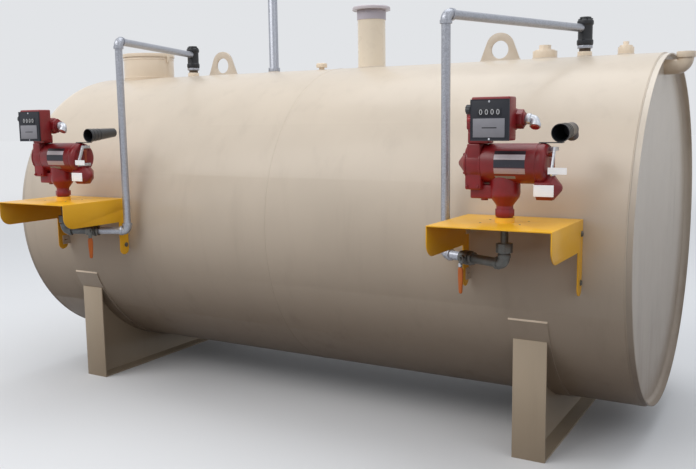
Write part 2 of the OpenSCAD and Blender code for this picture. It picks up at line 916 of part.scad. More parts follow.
module meter_body(x) {
    meter_x1 = meter_x0 + meter_w;
    color(pump_red) at_pump(x) {
        block([meter_x0, meter_y + face_t, meter_low],
            [meter_x1, meter_y + face_t + meter_d, meter_low + meter_h + case_rise]);
        translate([0, flow_y, flow_up]) {
            x_rod(meter_x0 + 4, meter_x1 - 4, flow_r);
            rotate([0, 90, 0]) translate([0, 0, meter_x1 - 5])
                cylinder(r = port_r, h = port_len + 5, $fn = port_sides);
        }
        block([duct_x0, duct_y0, head_top + seat],
            [duct_x1, duct_y1, head_top + duct_step]);
        block([duct_x0, duct_y0, head_top + duct_step - 2],
            [duct_x1, duct_y0 + duct_neck, flow_up]);
        translate([meter_x0 - side_boss_len, knob_y, side_boss_up]) rotate([0, 90, 0])
            cylinder(r = side_boss_r, h = side_boss_len + 1);
    }
}

module meter_face(x) {
    color(black_iron) at_pump(x)
        block([meter_x0, meter_y, meter_low],
            [meter_x0 + meter_w, meter_y + face_t, meter_low + meter_h]);
}

module reset_knob(x) {
    color(black_iron) at_pump(x) translate([meter_x0 - knob_gap, knob_y, knob_up])
        rotate([0, -90, 0]) {
            cylinder(r = knob_r / 2, h = knob_neck);
            translate([0, 0, knob_neck]) cylinder(r = knob_r, h = knob_len - knob_neck, $fn = 10);
        }
}

module outlet_elbow(x) {
    start = meter_x0 + meter_w + port_len;
    reach = elbow_reach(outlet_r);
    color("#c9cacc") at_pump(x) translate([start, flow_y, flow_up]) {
        x_rod(0, outlet_nipple + 2, outlet_r - outlet_band);
        translate([outlet_nipple + reach, 0, 0]) rotate([-outlet_turn, 0, 0]) mirror([1, 0, 0])
            elbow(outlet_r, outlet_r + outlet_band);
    }
}

// Nozzle boot, hook and switch lever

module nozzle_boot(x, hangs) {
    run = hangs ? boot_len : boot_straight;
    strap_up = motor_up + motor_r + seat;
    tip = [boot_x, boot_y + run * cos(boot_tilt), boot_up + run * sin(boot_tilt)];
    end_r = hangs ? boot_end_r : boot_tip_r;
    color(black_iron) at_pump(x) difference() {
        union() {
            translate([boot_x, boot_y, boot_up]) rotate([-90 + boot_tilt, 0, 0])
                cylinder(r1 = boot_r, r2 = end_r, h = run);
            if (hangs) translate(tip) sphere(r = boot_knee_r);
            if (hangs) translate(tip) rotate([-90 - boot_droop, 0, 0])
                cylinder(r1 = boot_knee_r - 2, r2 = boot_tip_r, h = boot_tip_len);
            block([boot_strap_x0, boot_y - boot_strap_w / 2, strap_up],
                [boot_x + boot_strap_end, boot_y + boot_strap_w / 2, strap_up + boot_strap_t]);
        }
        translate([boot_x, boot_y, boot_up]) rotate([-90 + boot_tilt, 0, 0])
            translate([0, 0, -1]) cylinder(r1 = boot_r - boot_wall, r2 = end_r - boot_wall,
                h = run - boot_wall + 1);
    }
}

// Plate cut to hold a nozzle's guard, seen along the tank
module hook_outline() {
    difference() {
        polygon([[hook_back, hook_top], [hook_mid, hook_top], [hook_front, hook_low + 12],
            [hook_front + 8, hook_low], [hook_back, hook_low]]);
        polygon([[hook_back + 1, hook_top - hook_t], [hook_mid + hook_t * 0.7, hook_top - hook_t],
            [hook_front + hook_t * 1.2, hook_low + hook_t], [hook_back + 1, hook_low + hook_t]]);
    }
}

module nozzle_hook(x) {
    color("#cfd2d4") at_pump(x) {
        translate([motor_x1 + hook_out, 0, 0]) rotate([90, 0, 90])
            linear_extrude(hook_w) hook_outline();
        for (z = [hook_low, hook_top - hook_t])
            block([motor_x1, hook_back - hook_tab, z],
                [motor_x1 + hook_out + hook_w, hook_back, z + hook_t]);
    }
}

module switch_lever(x) {
    color("#c8642a") at_pump(x) translate([motor_x1 + lever_gap, toggle_y, toggle_up]) {
        x_rod(0, toggle_out + toggle_t, toggle_r);
        translate([toggle_out, -toggle_w / 2, -toggle_len]) cube([toggle_t, toggle_w, toggle_len]);
    }
}

shell();
head_left();
head_right();
wear_pads();
saddle_left();
saddle_right();
lifting_lugs();
spill_box();
spill_box_lid();
emergency_vent_riser();
emergency_vent_cap();
vent_pipe();
vent_pipe_cap();
gauge_cap();
inspection_fitting();
spare_fitting();
head_vent_elbow();
suction_couplings();
shelf_lugs();
suction_valve(valve_left_x);  // suction_valve_left
crossover_pipe(drop_left_x, valve_left_x);  // crossover_pipe_left
drop_pipe(drop_left_x);  // drop_pipe_left
supply_run(drop_left_x, shelf_left_x, ball_left);  // supply_run_left
ball_valve(drop_left_x, shelf_left_x, ball_left);  // ball_valve_left
valve_lever(drop_left_x, shelf_left_x, ball_left);  // valve_lever_left
pump_shelf(shelf_left_x);  // pump_shelf_left
pump_casing(shelf_left_x);  // pump_casing_left
pump_motor(shelf_left_x);  // pump_motor_left
switch_box(shelf_left_x);  // switch_box_left
meter_body(shelf_left_x);  // meter_body_left
meter_face(shelf_left_x);  // meter_face_left
reset_knob(shelf_left_x);  // reset_knob_left
switch_lever(shelf_left_x);  // switch_lever_left
outlet_elbow(shelf_left_x);  // outlet_elbow_left
nozzle_boot(shelf_left_x, false);  // nozzle_boot_left
nozzle_hook(shelf_left_x);  // nozzle_hook_left
suction_valve(valve_right_x);  // suction_valve_right
crossover_pipe(drop_right_x, valve_right_x);  // crossover_pipe_right
drop_pipe(drop_right_x);  // drop_pipe_right
supply_run(drop_right_x, shelf_right_x, ball_right);  // supply_run_right
ball_valve(drop_right_x, shelf_right_x, ball_right);  // ball_valve_right
valve_lever(drop_right_x, shelf_right_x, ball_right);  // valve_lever_right
pump_shelf(shelf_right_x);  // pump_shelf_right
pump_casing(shelf_right_x);  // pump_casing_right
pump_motor(shelf_right_x);  // pump_motor_right
switch_box(shelf_right_x);  // switch_box_right
meter_body(shelf_right_x);  // meter_body_right
meter_face(shelf_right_x);  // meter_face_right
reset_knob(shelf_right_x);  // reset_knob_right
switch_lever(shelf_right_x);  // switch_lever_right
outlet_elbow(shelf_right_x);  // outlet_elbow_right
nozzle_boot(shelf_right_x, true);  // nozzle_boot_right
nozzle_hook(shelf_right_x);  // nozzle_hook_right
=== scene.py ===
# %% [markdown]
# # A fuel storage tank on saddles, with two transfer pumps
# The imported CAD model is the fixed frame. Every piece below is made in metres in that same
# frame, so a place measured on the CAD is a place here. We start by loading the frame and by
# keeping its box, because the finished model may not grow out of it.

# %% Load the frame
import json
import math

import bmesh
import bpy
from mathutils import Matrix, Vector


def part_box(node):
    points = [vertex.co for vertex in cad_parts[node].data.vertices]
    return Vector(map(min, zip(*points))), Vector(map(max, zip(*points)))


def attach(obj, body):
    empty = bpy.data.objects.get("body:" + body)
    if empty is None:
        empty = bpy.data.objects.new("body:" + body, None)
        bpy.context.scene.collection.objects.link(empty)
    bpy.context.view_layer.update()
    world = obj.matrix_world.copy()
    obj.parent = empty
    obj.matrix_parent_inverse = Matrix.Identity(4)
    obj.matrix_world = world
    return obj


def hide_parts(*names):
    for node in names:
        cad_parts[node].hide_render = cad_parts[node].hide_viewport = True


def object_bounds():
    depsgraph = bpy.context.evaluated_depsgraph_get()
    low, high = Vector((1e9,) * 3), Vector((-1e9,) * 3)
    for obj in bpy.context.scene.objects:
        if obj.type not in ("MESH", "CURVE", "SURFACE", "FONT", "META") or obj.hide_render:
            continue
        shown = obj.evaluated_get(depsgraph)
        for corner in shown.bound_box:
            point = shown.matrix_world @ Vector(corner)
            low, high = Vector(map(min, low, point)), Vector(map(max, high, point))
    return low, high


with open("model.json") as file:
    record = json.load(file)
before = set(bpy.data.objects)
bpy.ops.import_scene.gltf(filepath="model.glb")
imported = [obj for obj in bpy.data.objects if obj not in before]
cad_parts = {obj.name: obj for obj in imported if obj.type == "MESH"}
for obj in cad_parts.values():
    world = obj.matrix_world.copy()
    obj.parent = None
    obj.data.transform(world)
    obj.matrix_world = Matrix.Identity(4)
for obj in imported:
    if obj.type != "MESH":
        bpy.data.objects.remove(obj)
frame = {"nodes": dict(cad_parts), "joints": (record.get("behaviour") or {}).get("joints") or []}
cad_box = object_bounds()
nodes = frame["nodes"]
MM = 0.001

# %% [markdown]
# ## The camera
# The photograph was taken at eye height from the front, a little to the right of the middle,
# so both the long side and the right-hand head show. Three turns place the lens: a yaw to the
# left, a pitch down, and the small roll of a hand-held camera. Their product goes straight
# into the camera's matrix, which keeps the roll exact.

# %% Camera
YAW, PITCH, ROLL = (math.radians(a) for a in (29.963, 7.787, 0.784))
EYE = (2.615, -4.504, 1.632)
SENSOR_MM, FOCAL_MM = 36, 42.30
tilt = (Matrix.Rotation(YAW, 4, "Z") @ Matrix.Rotation(math.pi / 2 - PITCH, 4, "X")
        @ Matrix.Rotation(-ROLL, 4, "Z"))
lens = bpy.data.cameras.new("camera")
lens.sensor_width, lens.lens, lens.clip_end = SENSOR_MM, FOCAL_MM, 300
camera = bpy.data.objects.new("camera", lens)
bpy.context.scene.collection.objects.link(camera)
camera.matrix_world = Matrix.Translation(EYE) @ tilt
bpy.context.scene.camera = camera
print("camera looks along", [round(-v, 3) for v in tilt.col[2][:3]])

# %% [markdown]
# ## Writing materials as sums
# A finish is easier to read as arithmetic than as a list of links. A Wire wraps one output
# socket, and its operators add Math nodes. A Finish is one material: its `node` method adds
# any other node from a type, its settings and its sockets. All patterns read Object
# coordinates, which are metres in the tank's own frame, so a 5 mm speck is 5 mm on each piece.

# %% The material kit
class Wire:
    """One output socket, which can be used in sums."""

    def __init__(self, finish, socket):
        self.finish, self.socket = finish, socket

    def maths(self, operation, a, b):
        return self.finish.node("Math", {"operation": operation}, {0: a, 1: b})

    def __add__(self, other):
        return self.maths("ADD", self, other)

    def __mul__(self, other):
        return self.maths("MULTIPLY", self, other)

    def __sub__(self, other):
        return self.maths("SUBTRACT", self, other)

    def __rsub__(self, other):
        return self.maths("SUBTRACT", other, self)

    __radd__, __rmul__ = __add__, __mul__

    def capped(self):
        """The value kept between 0 and 1."""
        return self.finish.node("Clamp", {}, {"Value": self})


class Finish:
    """A material in the making."""

    def __init__(self, name):
        self.material = bpy.data.materials.new(name)
        self.material.use_nodes = True
        self.tree = self.material.node_tree
        self.shader = self.tree.nodes["Principled BSDF"]
        self.place = self.node("TexCoord", {}, {}, "Object")

    def feed(self, socket, value):
        """Links a Wire to a socket, or sets the socket to a number or a colour."""
        if isinstance(value, Wire):
            self.tree.links.new(value.socket, socket)
        elif hasattr(value, "__len__") and len(value) == 3 and socket.type == "RGBA":
            socket.default_value = (*value, 1)
        else:
            socket.default_value = value

    def node(self, kind, settings, sockets, out=0):
        made = self.tree.nodes.new("ShaderNode" + kind)
        for name, value in settings.items():
            setattr(made, name, value)
        for name, value in sockets.items():
            self.feed(made.inputs[name], value)
        return Wire(self, made.outputs[out])

    def stretched(self, scale):
        """The coordinates scaled by axis, to draw streaks."""
        return self.node("Mapping", {}, {"Vector": self.place, "Scale": scale})

    def axis(self, name):
        return self.node("SeparateXYZ", {}, {"Vector": self.place}, name)

    def noise(self, scale, detail=3, vector=None):
        return self.node("TexNoise", {}, {"Vector": vector or self.place, "Scale": scale,
                                          "Detail": detail, "Roughness": 0.55})

    def cells(self, scale, out="Distance"):
        return self.node("TexVoronoi", {}, {"Vector": self.place, "Scale": scale}, out)

    def window(self, value, low, high):
        """0 below low, 1 above high, and a smooth step between them."""
        return self.node("MapRange", {"interpolation_type": "SMOOTHSTEP"},
                         {"Value": value, "From Min": low, "From Max": high})

    def band(self, value, low, high, soft):
        """1 between low and high."""
        return self.window(value, low - soft, low + soft) * (
            1 - self.window(value, high - soft, high + soft))

    def mix(self, share, a, b):
        """Colour a where share is 0, colour b where it is 1."""
        return self.node("Mix", {"data_type": "RGBA"}, {0: share, 6: a, 7: b}, 2)

    def blotted(self, colour, spread, scale, detail=3):
        """The colour a little lighter and darker from place to place."""
        low, high = ([c * k for c in colour] for k in (1 - spread, 1 + spread))
        return self.mix(self.window(self.noise(scale, detail), 0.3, 0.7), low, high)

    def bump(self, height, distance, strength):
        return self.node("Bump", {}, {"Height": height, "Distance": distance, "Strength": strength})

    def done(self, **sockets):
        """Sets the shader's sockets, named with _ for a space, and returns the material."""
        for name, value in sockets.items():
            self.feed(self.shader.inputs[name.replace("_", " ")], value)
        return self.material


def srgb(*levels):
    """A colour as a picture editor shows it, 0 to 255, in the linear scale of shaders."""
    return [(v / 255 / 12.92) if v <= 10 else ((v / 255 + 0.055) / 1.055) ** 2.4 for v in levels]


print("material kit ready: white is", srgb(255))

# %% [markdown]
# ## Finishes
# The tank is sprayed with a cream enamel that is glossy but not flat: the plate under it has
# shallow waves, which bend reflections, and the spray leaves a fine orange peel. Road dust
# runs down the sides in faint streaks. A height mask turns the paint darker and browner towards
# the bottom: partly dust that clings low, partly painted shade of the underside and painted
# reflection of the brown ground. All of that is a broad noise for the waves, a fine one for
# the peel, and the height mask. The saddles were sprayed apart from the shell, so they have
# their own shade of the cream. The fittings and the vent riser are a lighter cream, which is
# painted sky light, and the heads' lighter, greyer cream is painted reflection of the sky.

# %% Enamel paints
# The brown the paint turns towards the bottom: partly road dust, partly painted shade and painted
# reflection of the ground.
GROUND_DUST_AND_SHADE = srgb(76, 52, 32)


def enamel(name, colour, peel=260, wave=0.0, dust_and_shade_share=0.25, gloss=0.30, dust_and_shade_top=1.3, coat=0.35):
    """Sprayed enamel: colour drifts a little, dust and painted shade darken it towards the bottom,
    and specks dull the gloss.
    """
    paint = Finish(name)
    drift = paint.blotted(colour, 0.035, 1.7)
    streaks = paint.window(paint.noise(9, 5, paint.stretched((1, 1, 0.12))), 0.50, 0.78)
    # Darker towards the bottom, up to the top height: partly dust, partly painted shade and painted
    # reflection of the ground.
    low = 1 - paint.window(paint.axis("Z"), 0.0, dust_and_shade_top)
    dust_and_shade = (low * (paint.noise(3.1, 6) * 0.2 + 0.85) + streaks * 0.10) * dust_and_shade_share
    specks = paint.window(paint.cells(70), 0.10, 0.03) * paint.window(paint.noise(6), 0.5, 0.7)
    base = paint.mix(dust_and_shade.capped(), drift, GROUND_DUST_AND_SHADE)
    base = paint.mix(specks * 0.35, base, srgb(112, 90, 70))
    rough = paint.noise(14, 4) * 0.10 + (gloss - 0.05) + dust_and_shade * 0.35
    height = paint.noise(peel, 2) * 0.05 + paint.noise(1.6, 2) * wave
    return paint.done(Base_Color=base, Roughness=rough, Specular_IOR_Level=0.3, Coat_Weight=coat,
                      Coat_Roughness=0.12, Normal=paint.bump(height, 0.01, 0.6))


CREAM = (0.665, 0.575, 0.470)


def tinted(*factors):
    """The tank's cream, made lighter or darker by channel."""
    return [c * k for c, k in zip(CREAM, factors)]


# The shell's strong darkening towards the bottom is painted shade and painted reflection of the
# ground, with some dust.
tank_paint = enamel("tank_enamel", CREAM, wave=0.9, dust_and_shade_share=0.68, dust_and_shade_top=1.35, coat=0.1)
# The heads' lighter, greyer cream is a painted reflection of the sky, and its darkening below the
# top is painted shade, with some dust.
head_paint_painted_light = enamel("head_enamel_painted_light", (0.74, 0.66, 0.56), wave=0.9, dust_and_shade_share=0.72, dust_and_shade_top=2.1,
                    coat=0.15)
saddle_paint = enamel("saddle_enamel", tinted(0.92, 0.88, 0.80), dust_and_shade_share=0.45, gloss=0.38,
                      dust_and_shade_top=0.9, coat=0.2)
# The fittings' cream is lighter than the shell's: painted sky light on the same enamel.
sky_lit_fitting_paint = enamel("sky_lit_fitting_enamel", tinted(1.30, 1.27, 1.22), dust_and_shade_share=0.05, dust_and_shade_top=0.3,
                       coat=0.4)
# The riser's cream is lighter still: painted sky light.
sky_lit_riser_paint = enamel("sky_lit_riser_enamel", (0.93, 0.83, 0.68), dust_and_shade_share=0.02, gloss=0.28, dust_and_shade_top=0.3,
                     coat=0.45)
cap_grey = enamel("cap_grey", srgb(208, 200, 206), dust_and_shade_share=0.05, gloss=0.4, dust_and_shade_top=0.3)
vent_grey = enamel("vent_grey", srgb(188, 182, 192), dust_and_shade_share=0.05, gloss=0.5, dust_and_shade_top=0.3,
                   coat=0.1)
shelf_paint = enamel("shelf_enamel", srgb(250, 188, 42), peel=200, dust_and_shade_share=0.05, gloss=0.34,
                     dust_and_shade_top=1.15, coat=0.2)
print("enamels:", tank_paint.name, sky_lit_fitting_paint.name, saddle_paint.name)

# %% [markdown]
# The pumps wear a red powder coat over a casting. Powder melts into a pebbled skin with no
# clear layer, so its bump is coarser and it is duller than the enamel.

# %% Powder coat and castings
def powder(name, colour, pebble=420, gloss=0.36, coat=0.25):
    """A pebbled skin, blotched a little and darker where dirt has settled."""
    skin = Finish(name)
    base = skin.blotted(colour, 0.10, 22, 4)
    dirt = skin.window(skin.noise(40, 6), 0.62, 0.80)
    base = skin.mix(dirt * 0.22, base, [c * 0.35 for c in colour])
    height = skin.noise(pebble, 3) * 0.10 + skin.noise(60, 2) * 0.12
    return skin.done(Base_Color=base, Roughness=skin.noise(90, 3) * 0.16 + (gloss - 0.08),
                     Coat_Weight=coat, Coat_Roughness=0.2, Normal=skin.bump(height, 0.004, 0.7))


pump_red = powder("pump_red", srgb(136, 27, 32), coat=0.04)
bright_red = powder("cap_red", srgb(176, 28, 34), gloss=0.3)
valve_black = powder("valve_black", srgb(20, 22, 28), gloss=0.46, coat=0.1)
moulded_black = powder("moulded_black", srgb(38, 39, 43), pebble=700, coat=0.2)
face_black = powder("face_black", srgb(20, 24, 36), pebble=900, gloss=0.5, coat=0.0)
print("powder coats:", pump_red.name, bright_red.name, valve_black.name)

# %% [markdown]
# Hot-dip zinc freezes in spangles: flat crystals a few millimetres across, each with its own
# gloss. A cell noise gives every crystal one value, which we use for both tone and roughness.
# Older pipe also carries white bloom and, at threads, a little rust.

# %% Metals
def plated(name, colour, spangle=160, rough=0.36, bloom=0.25, rust=0.0, metal=0.85, bumpy=0.15):
    """Bare or zinc-coated metal: crystals by cell, a cloud of bloom and spots of rust."""
    zinc = Finish(name)
    crystal = zinc.node("SeparateColor", {}, {"Color": zinc.cells(spangle, "Color")}, "Red")
    base = zinc.mix(crystal, [c * 0.82 for c in colour], [min(1, c * 1.12) for c in colour])
    cloud = zinc.window(zinc.noise(18, 5), 0.45, 0.75) * bloom
    base = zinc.mix(cloud, base, srgb(190, 192, 192))
    spots = (zinc.window(zinc.noise(34, 6), 0.56, 0.70) * rust).capped()
    base = zinc.mix(spots, base, srgb(104, 62, 38))
    return zinc.done(Base_Color=base, Metallic=(1 - spots) * metal,
                     Roughness=crystal * 0.12 + cloud * 0.3 + spots * 0.3 + (rough - 0.04),
                     Normal=zinc.bump(crystal * 0.3 + zinc.noise(500, 2), 0.001, bumpy))


galvanised = plated("galvanised", srgb(174, 177, 186), spangle=220, rough=0.34, bloom=0.15,
                    metal=0.7)
dull_iron = plated("dull_iron", srgb(106, 107, 104), spangle=300, rough=0.44, bloom=0.16,
                   rust=0.2, metal=0.5)
worn_zinc = plated("worn_zinc", srgb(98, 101, 102), spangle=300, rough=0.42, bloom=0.2,
                   rust=0.1, metal=0.6)
valve_metal = plated("valve_metal", srgb(104, 102, 98), spangle=500, rough=0.4, bloom=0.1)
bright_plate = plated("bright_plate", srgb(208, 211, 218), spangle=40, rough=0.40, bloom=0.0,
                      metal=0.7, bumpy=0.0)
rusty_nipple = plated("rusty_nipple", srgb(110, 96, 84), rough=0.6, rust=1.6, metal=0.4)
print("metals:", galvanised.name, dull_iron.name, bright_plate.name)

# %% [markdown]
# A few small finishes are left: the dipped grip on the valve levers, paper for the tags, and
# the printed plates. The plates stay bare, with plain bands of tone where a plate has bands.

# %% Grip, paper and plates
def matt(name, colour, rough=0.6, grain=300, depth=0.3, spread=0.06, painted_glow=0.0):
    """A plain finish with a fine grain; the glow setting makes it emit a little light, a painted
    brightness, though it is no lamp.
    """
    stuff = Finish(name)
    return stuff.done(Base_Color=stuff.blotted(colour, spread, 30), Specular_IOR_Level=0.4,
                      Emission_Color=list(colour), Emission_Strength=painted_glow,
                      Roughness=stuff.noise(50, 3) * 0.12 + (rough - 0.06),
                      Normal=stuff.bump(stuff.noise(grain, 3), 0.001, depth))


grip_orange = matt("grip_orange", srgb(196, 102, 36), rough=0.42)
lever_orange = matt("lever_orange", srgb(160, 72, 44), rough=0.45)
# The tags glow a little: a painted brightness that keeps the paper white.
paper = matt("tag_paper", srgb(246, 248, 252), rough=0.75, grain=900, spread=0.02, painted_glow=0.18)
# The boot's tip is a lighter grey than its black body: a painted reflection of the sky on the
# plastic.
boot_tip_painted_sheen = matt("boot_tip_painted_sheen", srgb(98, 96, 102), rough=0.5)
digit_white = matt("digit_white", srgb(214, 216, 220), rough=0.5)
plate_grey = matt("plate_grey", srgb(150, 150, 158), rough=0.35, spread=0.03)
drum_black = matt("drum_black", srgb(16, 17, 20), rough=0.3)
weld_paint = matt("weld_bead", tinted(0.92, 0.92, 0.92), rough=0.45, grain=260, depth=0.8)


def banded_plate(name, low, bands, ground):
    """A plate whose bands are given as (start, end, colour), in metres above `low`."""
    plate = Finish(name)
    up, base = plate.axis("Z") - low, ground
    for start, end, colour in bands:
        base = plate.mix(plate.band(up, start, end, 0.0006), base, colour)
    worn = plate.window(plate.noise(120, 4), 0.60, 0.75) * 0.25
    return plate.done(Base_Color=plate.mix(worn, base, srgb(120, 96, 96)),
                      Roughness=plate.noise(60, 2) * 0.1 + 0.3)


print("small finishes:", grip_orange.name, paper.name, plate_grey.name)

# %% [markdown]
# ## A small workshop
# Every new piece starts as a bmesh and is shaped with Blender's own operators. Three shapes
# do most of the work: a slab (a cube that is scaled), a turned solid (a profile that is spun)
# and a prism (an outline that is extruded). `soften` then rounds every edge that is sharper
# than 30 degrees, because no cast or welded part has a perfectly sharp edge, and a rounded
# one catches the light.

# %% Shapes
def slab(low, high):
    """A box between two corners in millimetres."""
    bm = bmesh.new()
    bmesh.ops.create_cube(bm, size=1)
    low, high = Vector(low) * MM, Vector(high) * MM
    bmesh.ops.scale(bm, vec=high - low, verts=bm.verts)
    bmesh.ops.translate(bm, vec=(low + high) / 2, verts=bm.verts)
    return bm


def turned(profile, steps=64, closed=False):
    """A lathe piece: (radius, height) points in millimetres, spun round the Z axis."""
    bm = bmesh.new()
    line = [bm.verts.new((r * MM, 0, z * MM)) for r, z in profile]
    edges = [bm.edges.new(pair) for pair in zip(line, line[1:])]
    if closed:
        edges.append(bm.edges.new((line[-1], line[0])))
    bmesh.ops.spin(bm, geom=line + edges, cent=(0, 0, 0), axis=(0, 0, 1), dvec=(0, 0, 0),
                   angle=math.tau, steps=steps, use_merge=True, use_duplicate=False)
    bmesh.ops.remove_doubles(bm, verts=bm.verts, dist=1e-6)
    bmesh.ops.recalc_face_normals(bm, faces=bm.faces)
    return bm


def rod(radius, start, end, steps):
    """A plain round bar along Z."""
    return turned([(0, start), (radius, start), (radius, end), (0, end)], steps)


def prism(outline, start, end):
    """A flat outline of (x, y) points in millimetres, extruded along Z."""
    bm = bmesh.new()
    face = bm.faces.new([bm.verts.new((x * MM, y * MM, start * MM)) for x, y in outline])
    grown = bmesh.ops.extrude_face_region(bm, geom=[face])["geom"]
    bmesh.ops.translate(bm, vec=(0, 0, (end - start) * MM),
                        verts=[v for v in grown if isinstance(v, bmesh.types.BMVert)])
    bmesh.ops.recalc_face_normals(bm, faces=bm.faces)
    return bm


def polygon(sides, radius, turn=0.0):
    """Corners of a regular outline."""
    return [(radius * math.cos(math.tau * i / sides + turn),
             radius * math.sin(math.tau * i / sides + turn)) for i in range(sides)]


def arc(radius, start, end, step):
    """Points of an arc between two angles in whole degrees."""
    return [(radius * math.cos(a), radius * math.sin(a))
            for a in (math.radians(d) for d in range(start, end + 1, step))]


def soften(bm, width, segments=2):
    """Rounds the edges that are sharper than 30 degrees; width is in millimetres."""
    edges = [e for e in bm.edges
             if len(e.link_faces) == 2 and math.degrees(e.calc_face_angle(0)) > 30]
    bmesh.ops.bevel(bm, geom=edges, offset=width * MM, offset_type="OFFSET", affect="EDGES",
                    segments=segments, profile=0.5, material=-1, clamp_overlap=True)
    return bm


def put(bm, at=(0, 0, 0), turn=None):
    """Turns a piece, then moves it, in millimetres."""
    bm.transform(Matrix.Translation(Vector(at) * MM) @ (turn or Matrix.Identity(4)))
    return bm


UP = Vector((0, 0, 1))
ALONG_X = Matrix.Rotation(math.pi / 2, 4, "Y")      # Z turns to X, the tank's length
LEFTWARDS = Matrix.Rotation(-math.pi / 2, 4, "Y")   # Z turns to -X
OUT_Y = Matrix.Rotation(math.pi / 2, 4, "X")        # Z turns to -Y, towards the reader


def facing(direction):
    """The turn that takes the Z axis to a direction."""
    return UP.rotation_difference(Vector(direction)).to_matrix().to_4x4()


def bolt(at, axis, across=19, thick=6.5, washer=14):
    """A hexagon head on a washer, its axis along `axis`."""
    hexagon = soften(prism(polygon(6, across / 2 / math.cos(math.pi / 6)), 1.8, thick), 0.8)
    disc = soften(rod(washer, 0, 2, 24), 0.5)
    return [put(part, at, facing(axis)) for part in (hexagon, disc)]


def gather(parts):
    """Several pieces of one finish as one bmesh."""
    whole = bmesh.new()
    for part in parts:
        loose = bpy.data.meshes.new("loose")
        part.to_mesh(loose)
        part.free()
        whole.from_mesh(loose)
        bpy.data.meshes.remove(loose)
    return whole


def piece(name, parts, finish, body="tank", stands_for=(), sharp=32):
    """Makes the object: smooth faces, crisp edges, its finish and its body, and hides the nodes it
    stands for.
    """
    bm = gather(parts) if isinstance(parts, (list, tuple)) else parts
    for face in bm.faces:
        face.smooth = True
    for edge in bm.edges:
        edge.smooth = (len(edge.link_faces) == 2
                       and math.degrees(edge.calc_face_angle(0)) < sharp)
    mesh = bpy.data.meshes.new(name)
    bm.to_mesh(mesh)
    bm.free()
    mesh.materials.append(finish)
    obj = bpy.data.objects.new(name, mesh)
    bpy.context.scene.collection.objects.link(obj)
    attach(obj, body)
    if stands_for:
        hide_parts(*stands_for)
    return obj


def merged(node):
    """A copy of a CAD node with its triangles joined again into flat faces."""
    bm = bmesh.new()
    bm.from_mesh(nodes[node].data)
    bmesh.ops.remove_doubles(bm, verts=bm.verts, dist=2e-6)
    bmesh.ops.dissolve_limit(bm, angle_limit=math.radians(0.4), verts=bm.verts, edges=bm.edges)
    return bm


def refined(node, finish, width, body="tank"):
    """A CAD node with its corners rounded: a merged copy of it stands for the node."""
    return piece("soft_" + node, soften(merged(node), width), finish, body, (node,))


def parted(bm, near):
    """Two meshes: the loose part whose corner is nearest to a place, and the other parts."""
    bm.verts.index_update()
    reached, front = set(), [min(bm.verts, key=lambda v: (v.co - near).length)]
    while front:
        vert = front.pop()
        if vert.index not in reached:
            reached.add(vert.index)
            front += [edge.other_vert(vert) for edge in vert.link_edges]
    meshes = bm.copy(), bm
    for mesh, keep in zip(meshes, (True, False)):
        mesh.verts.index_update()
        away = [v for v in mesh.verts if (v.index in reached) != keep]
        bmesh.ops.delete(mesh, geom=away, context="VERTS")
    return meshes


def dress(node, finish):
    """Keeps the CAD node's own shape and gives it a finish."""
    nodes[node].data.materials.clear()
    nodes[node].data.materials.append(finish)


def box_mm(node):
    """A node's lowest and highest corner in millimetres."""
    return [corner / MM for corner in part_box(node)]


def middle_x(node):
    """The middle of a node along the tank, in millimetres."""
    return sum(corner.x for corner in box_mm(node)) / 2


print("workshop ready")

# %% [markdown]
# ## Shell and heads
# The shell is rolled plate, closed by two flanged heads that sit inside its ends. The CAD
# node has the right size but a faceted edge, so we spin a finer one with 256 steps: a big
# glossy cylinder shows each facet. Where the plates meet, a bead of weld is left: one girth
# seam near the middle, and a fillet where each head's flange leaves the shell.

# %% Shell, heads and their welds
AXIS_H = 1050                       # the tank's axis above the ground
PLATE = 5                           # both the shell's plate and the heads'
HEAD_GAP = 0.3                      # between a head's flange and the shell
HEAD_RECESS, KNUCKLE_R = 40, 24     # lip to flat, and the bend between them
GIRTH_X = 21                        # the seam between the shell's two courses
ROOT = 1.5                          # how deep a weld bead is sunk
ROUND_STEPS = 256
shell_low, shell_high = box_mm("shell")
TANK_R = (shell_high.z - shell_low.z) / 2
TOP = AXIS_H + TANK_R
LEVEL = Matrix.Translation((0, 0, AXIS_H * MM)) @ ALONG_X
x0, x1 = shell_low.x, shell_high.x


def tank_round(profile, closed=False):
    """A (radius, x) profile spun round the tank's axis."""
    bm = turned(profile, ROUND_STEPS, closed)
    bm.transform(LEVEL)
    return bm


shell = tank_round([(TANK_R - PLATE, x0), (TANK_R, x0), (TANK_R, x1), (TANK_R - PLATE, x1)], True)
piece("shell_skin", soften(shell, 1.2), tank_paint, stands_for=("shell",))


def bead(radius, at, height):
    """A weld bead round the tank: a low arch of five points, spun."""
    arch = [(-ROOT, -5), (height * 0.7, -3), (height, 0), (height * 0.7, 3), (-ROOT, 5)]
    return tank_round([(radius + up, at + along) for up, along in arch], True)


def kept_inside(bm):
    """Grinds flush the millimetre of a bead or a rounded lip that would leave the CAD's box."""
    for v in bm.verts:
        v.co.x = max(v.co.x, cad_box[0][0])
        v.co.y = min(v.co.y, cad_box[1][1])
    return bm


def head(name, lip, out):
    """A flanged head, drawn from its flat to its lip, then its inner face back again."""
    skirt = TANK_R - PLATE - HEAD_GAP
    flat_r, flat = skirt - PLATE - KNUCKLE_R, lip - out * HEAD_RECESS
    knuckle = [(flat_r + y, flat + out * (KNUCKLE_R - x)) for x, y in arc(KNUCKLE_R, 0, 90, 10)]
    inner = [(skirt, lip), (skirt, flat - out * PLATE), (0, flat - out * PLATE)]
    shape = tank_round([(0, flat)] + knuckle + [(skirt - PLATE, lip)] + inner)
    piece(name + "_skin", kept_inside(soften(shape, 1.2)), head_paint_painted_light,
          stands_for=(name,), sharp=50)


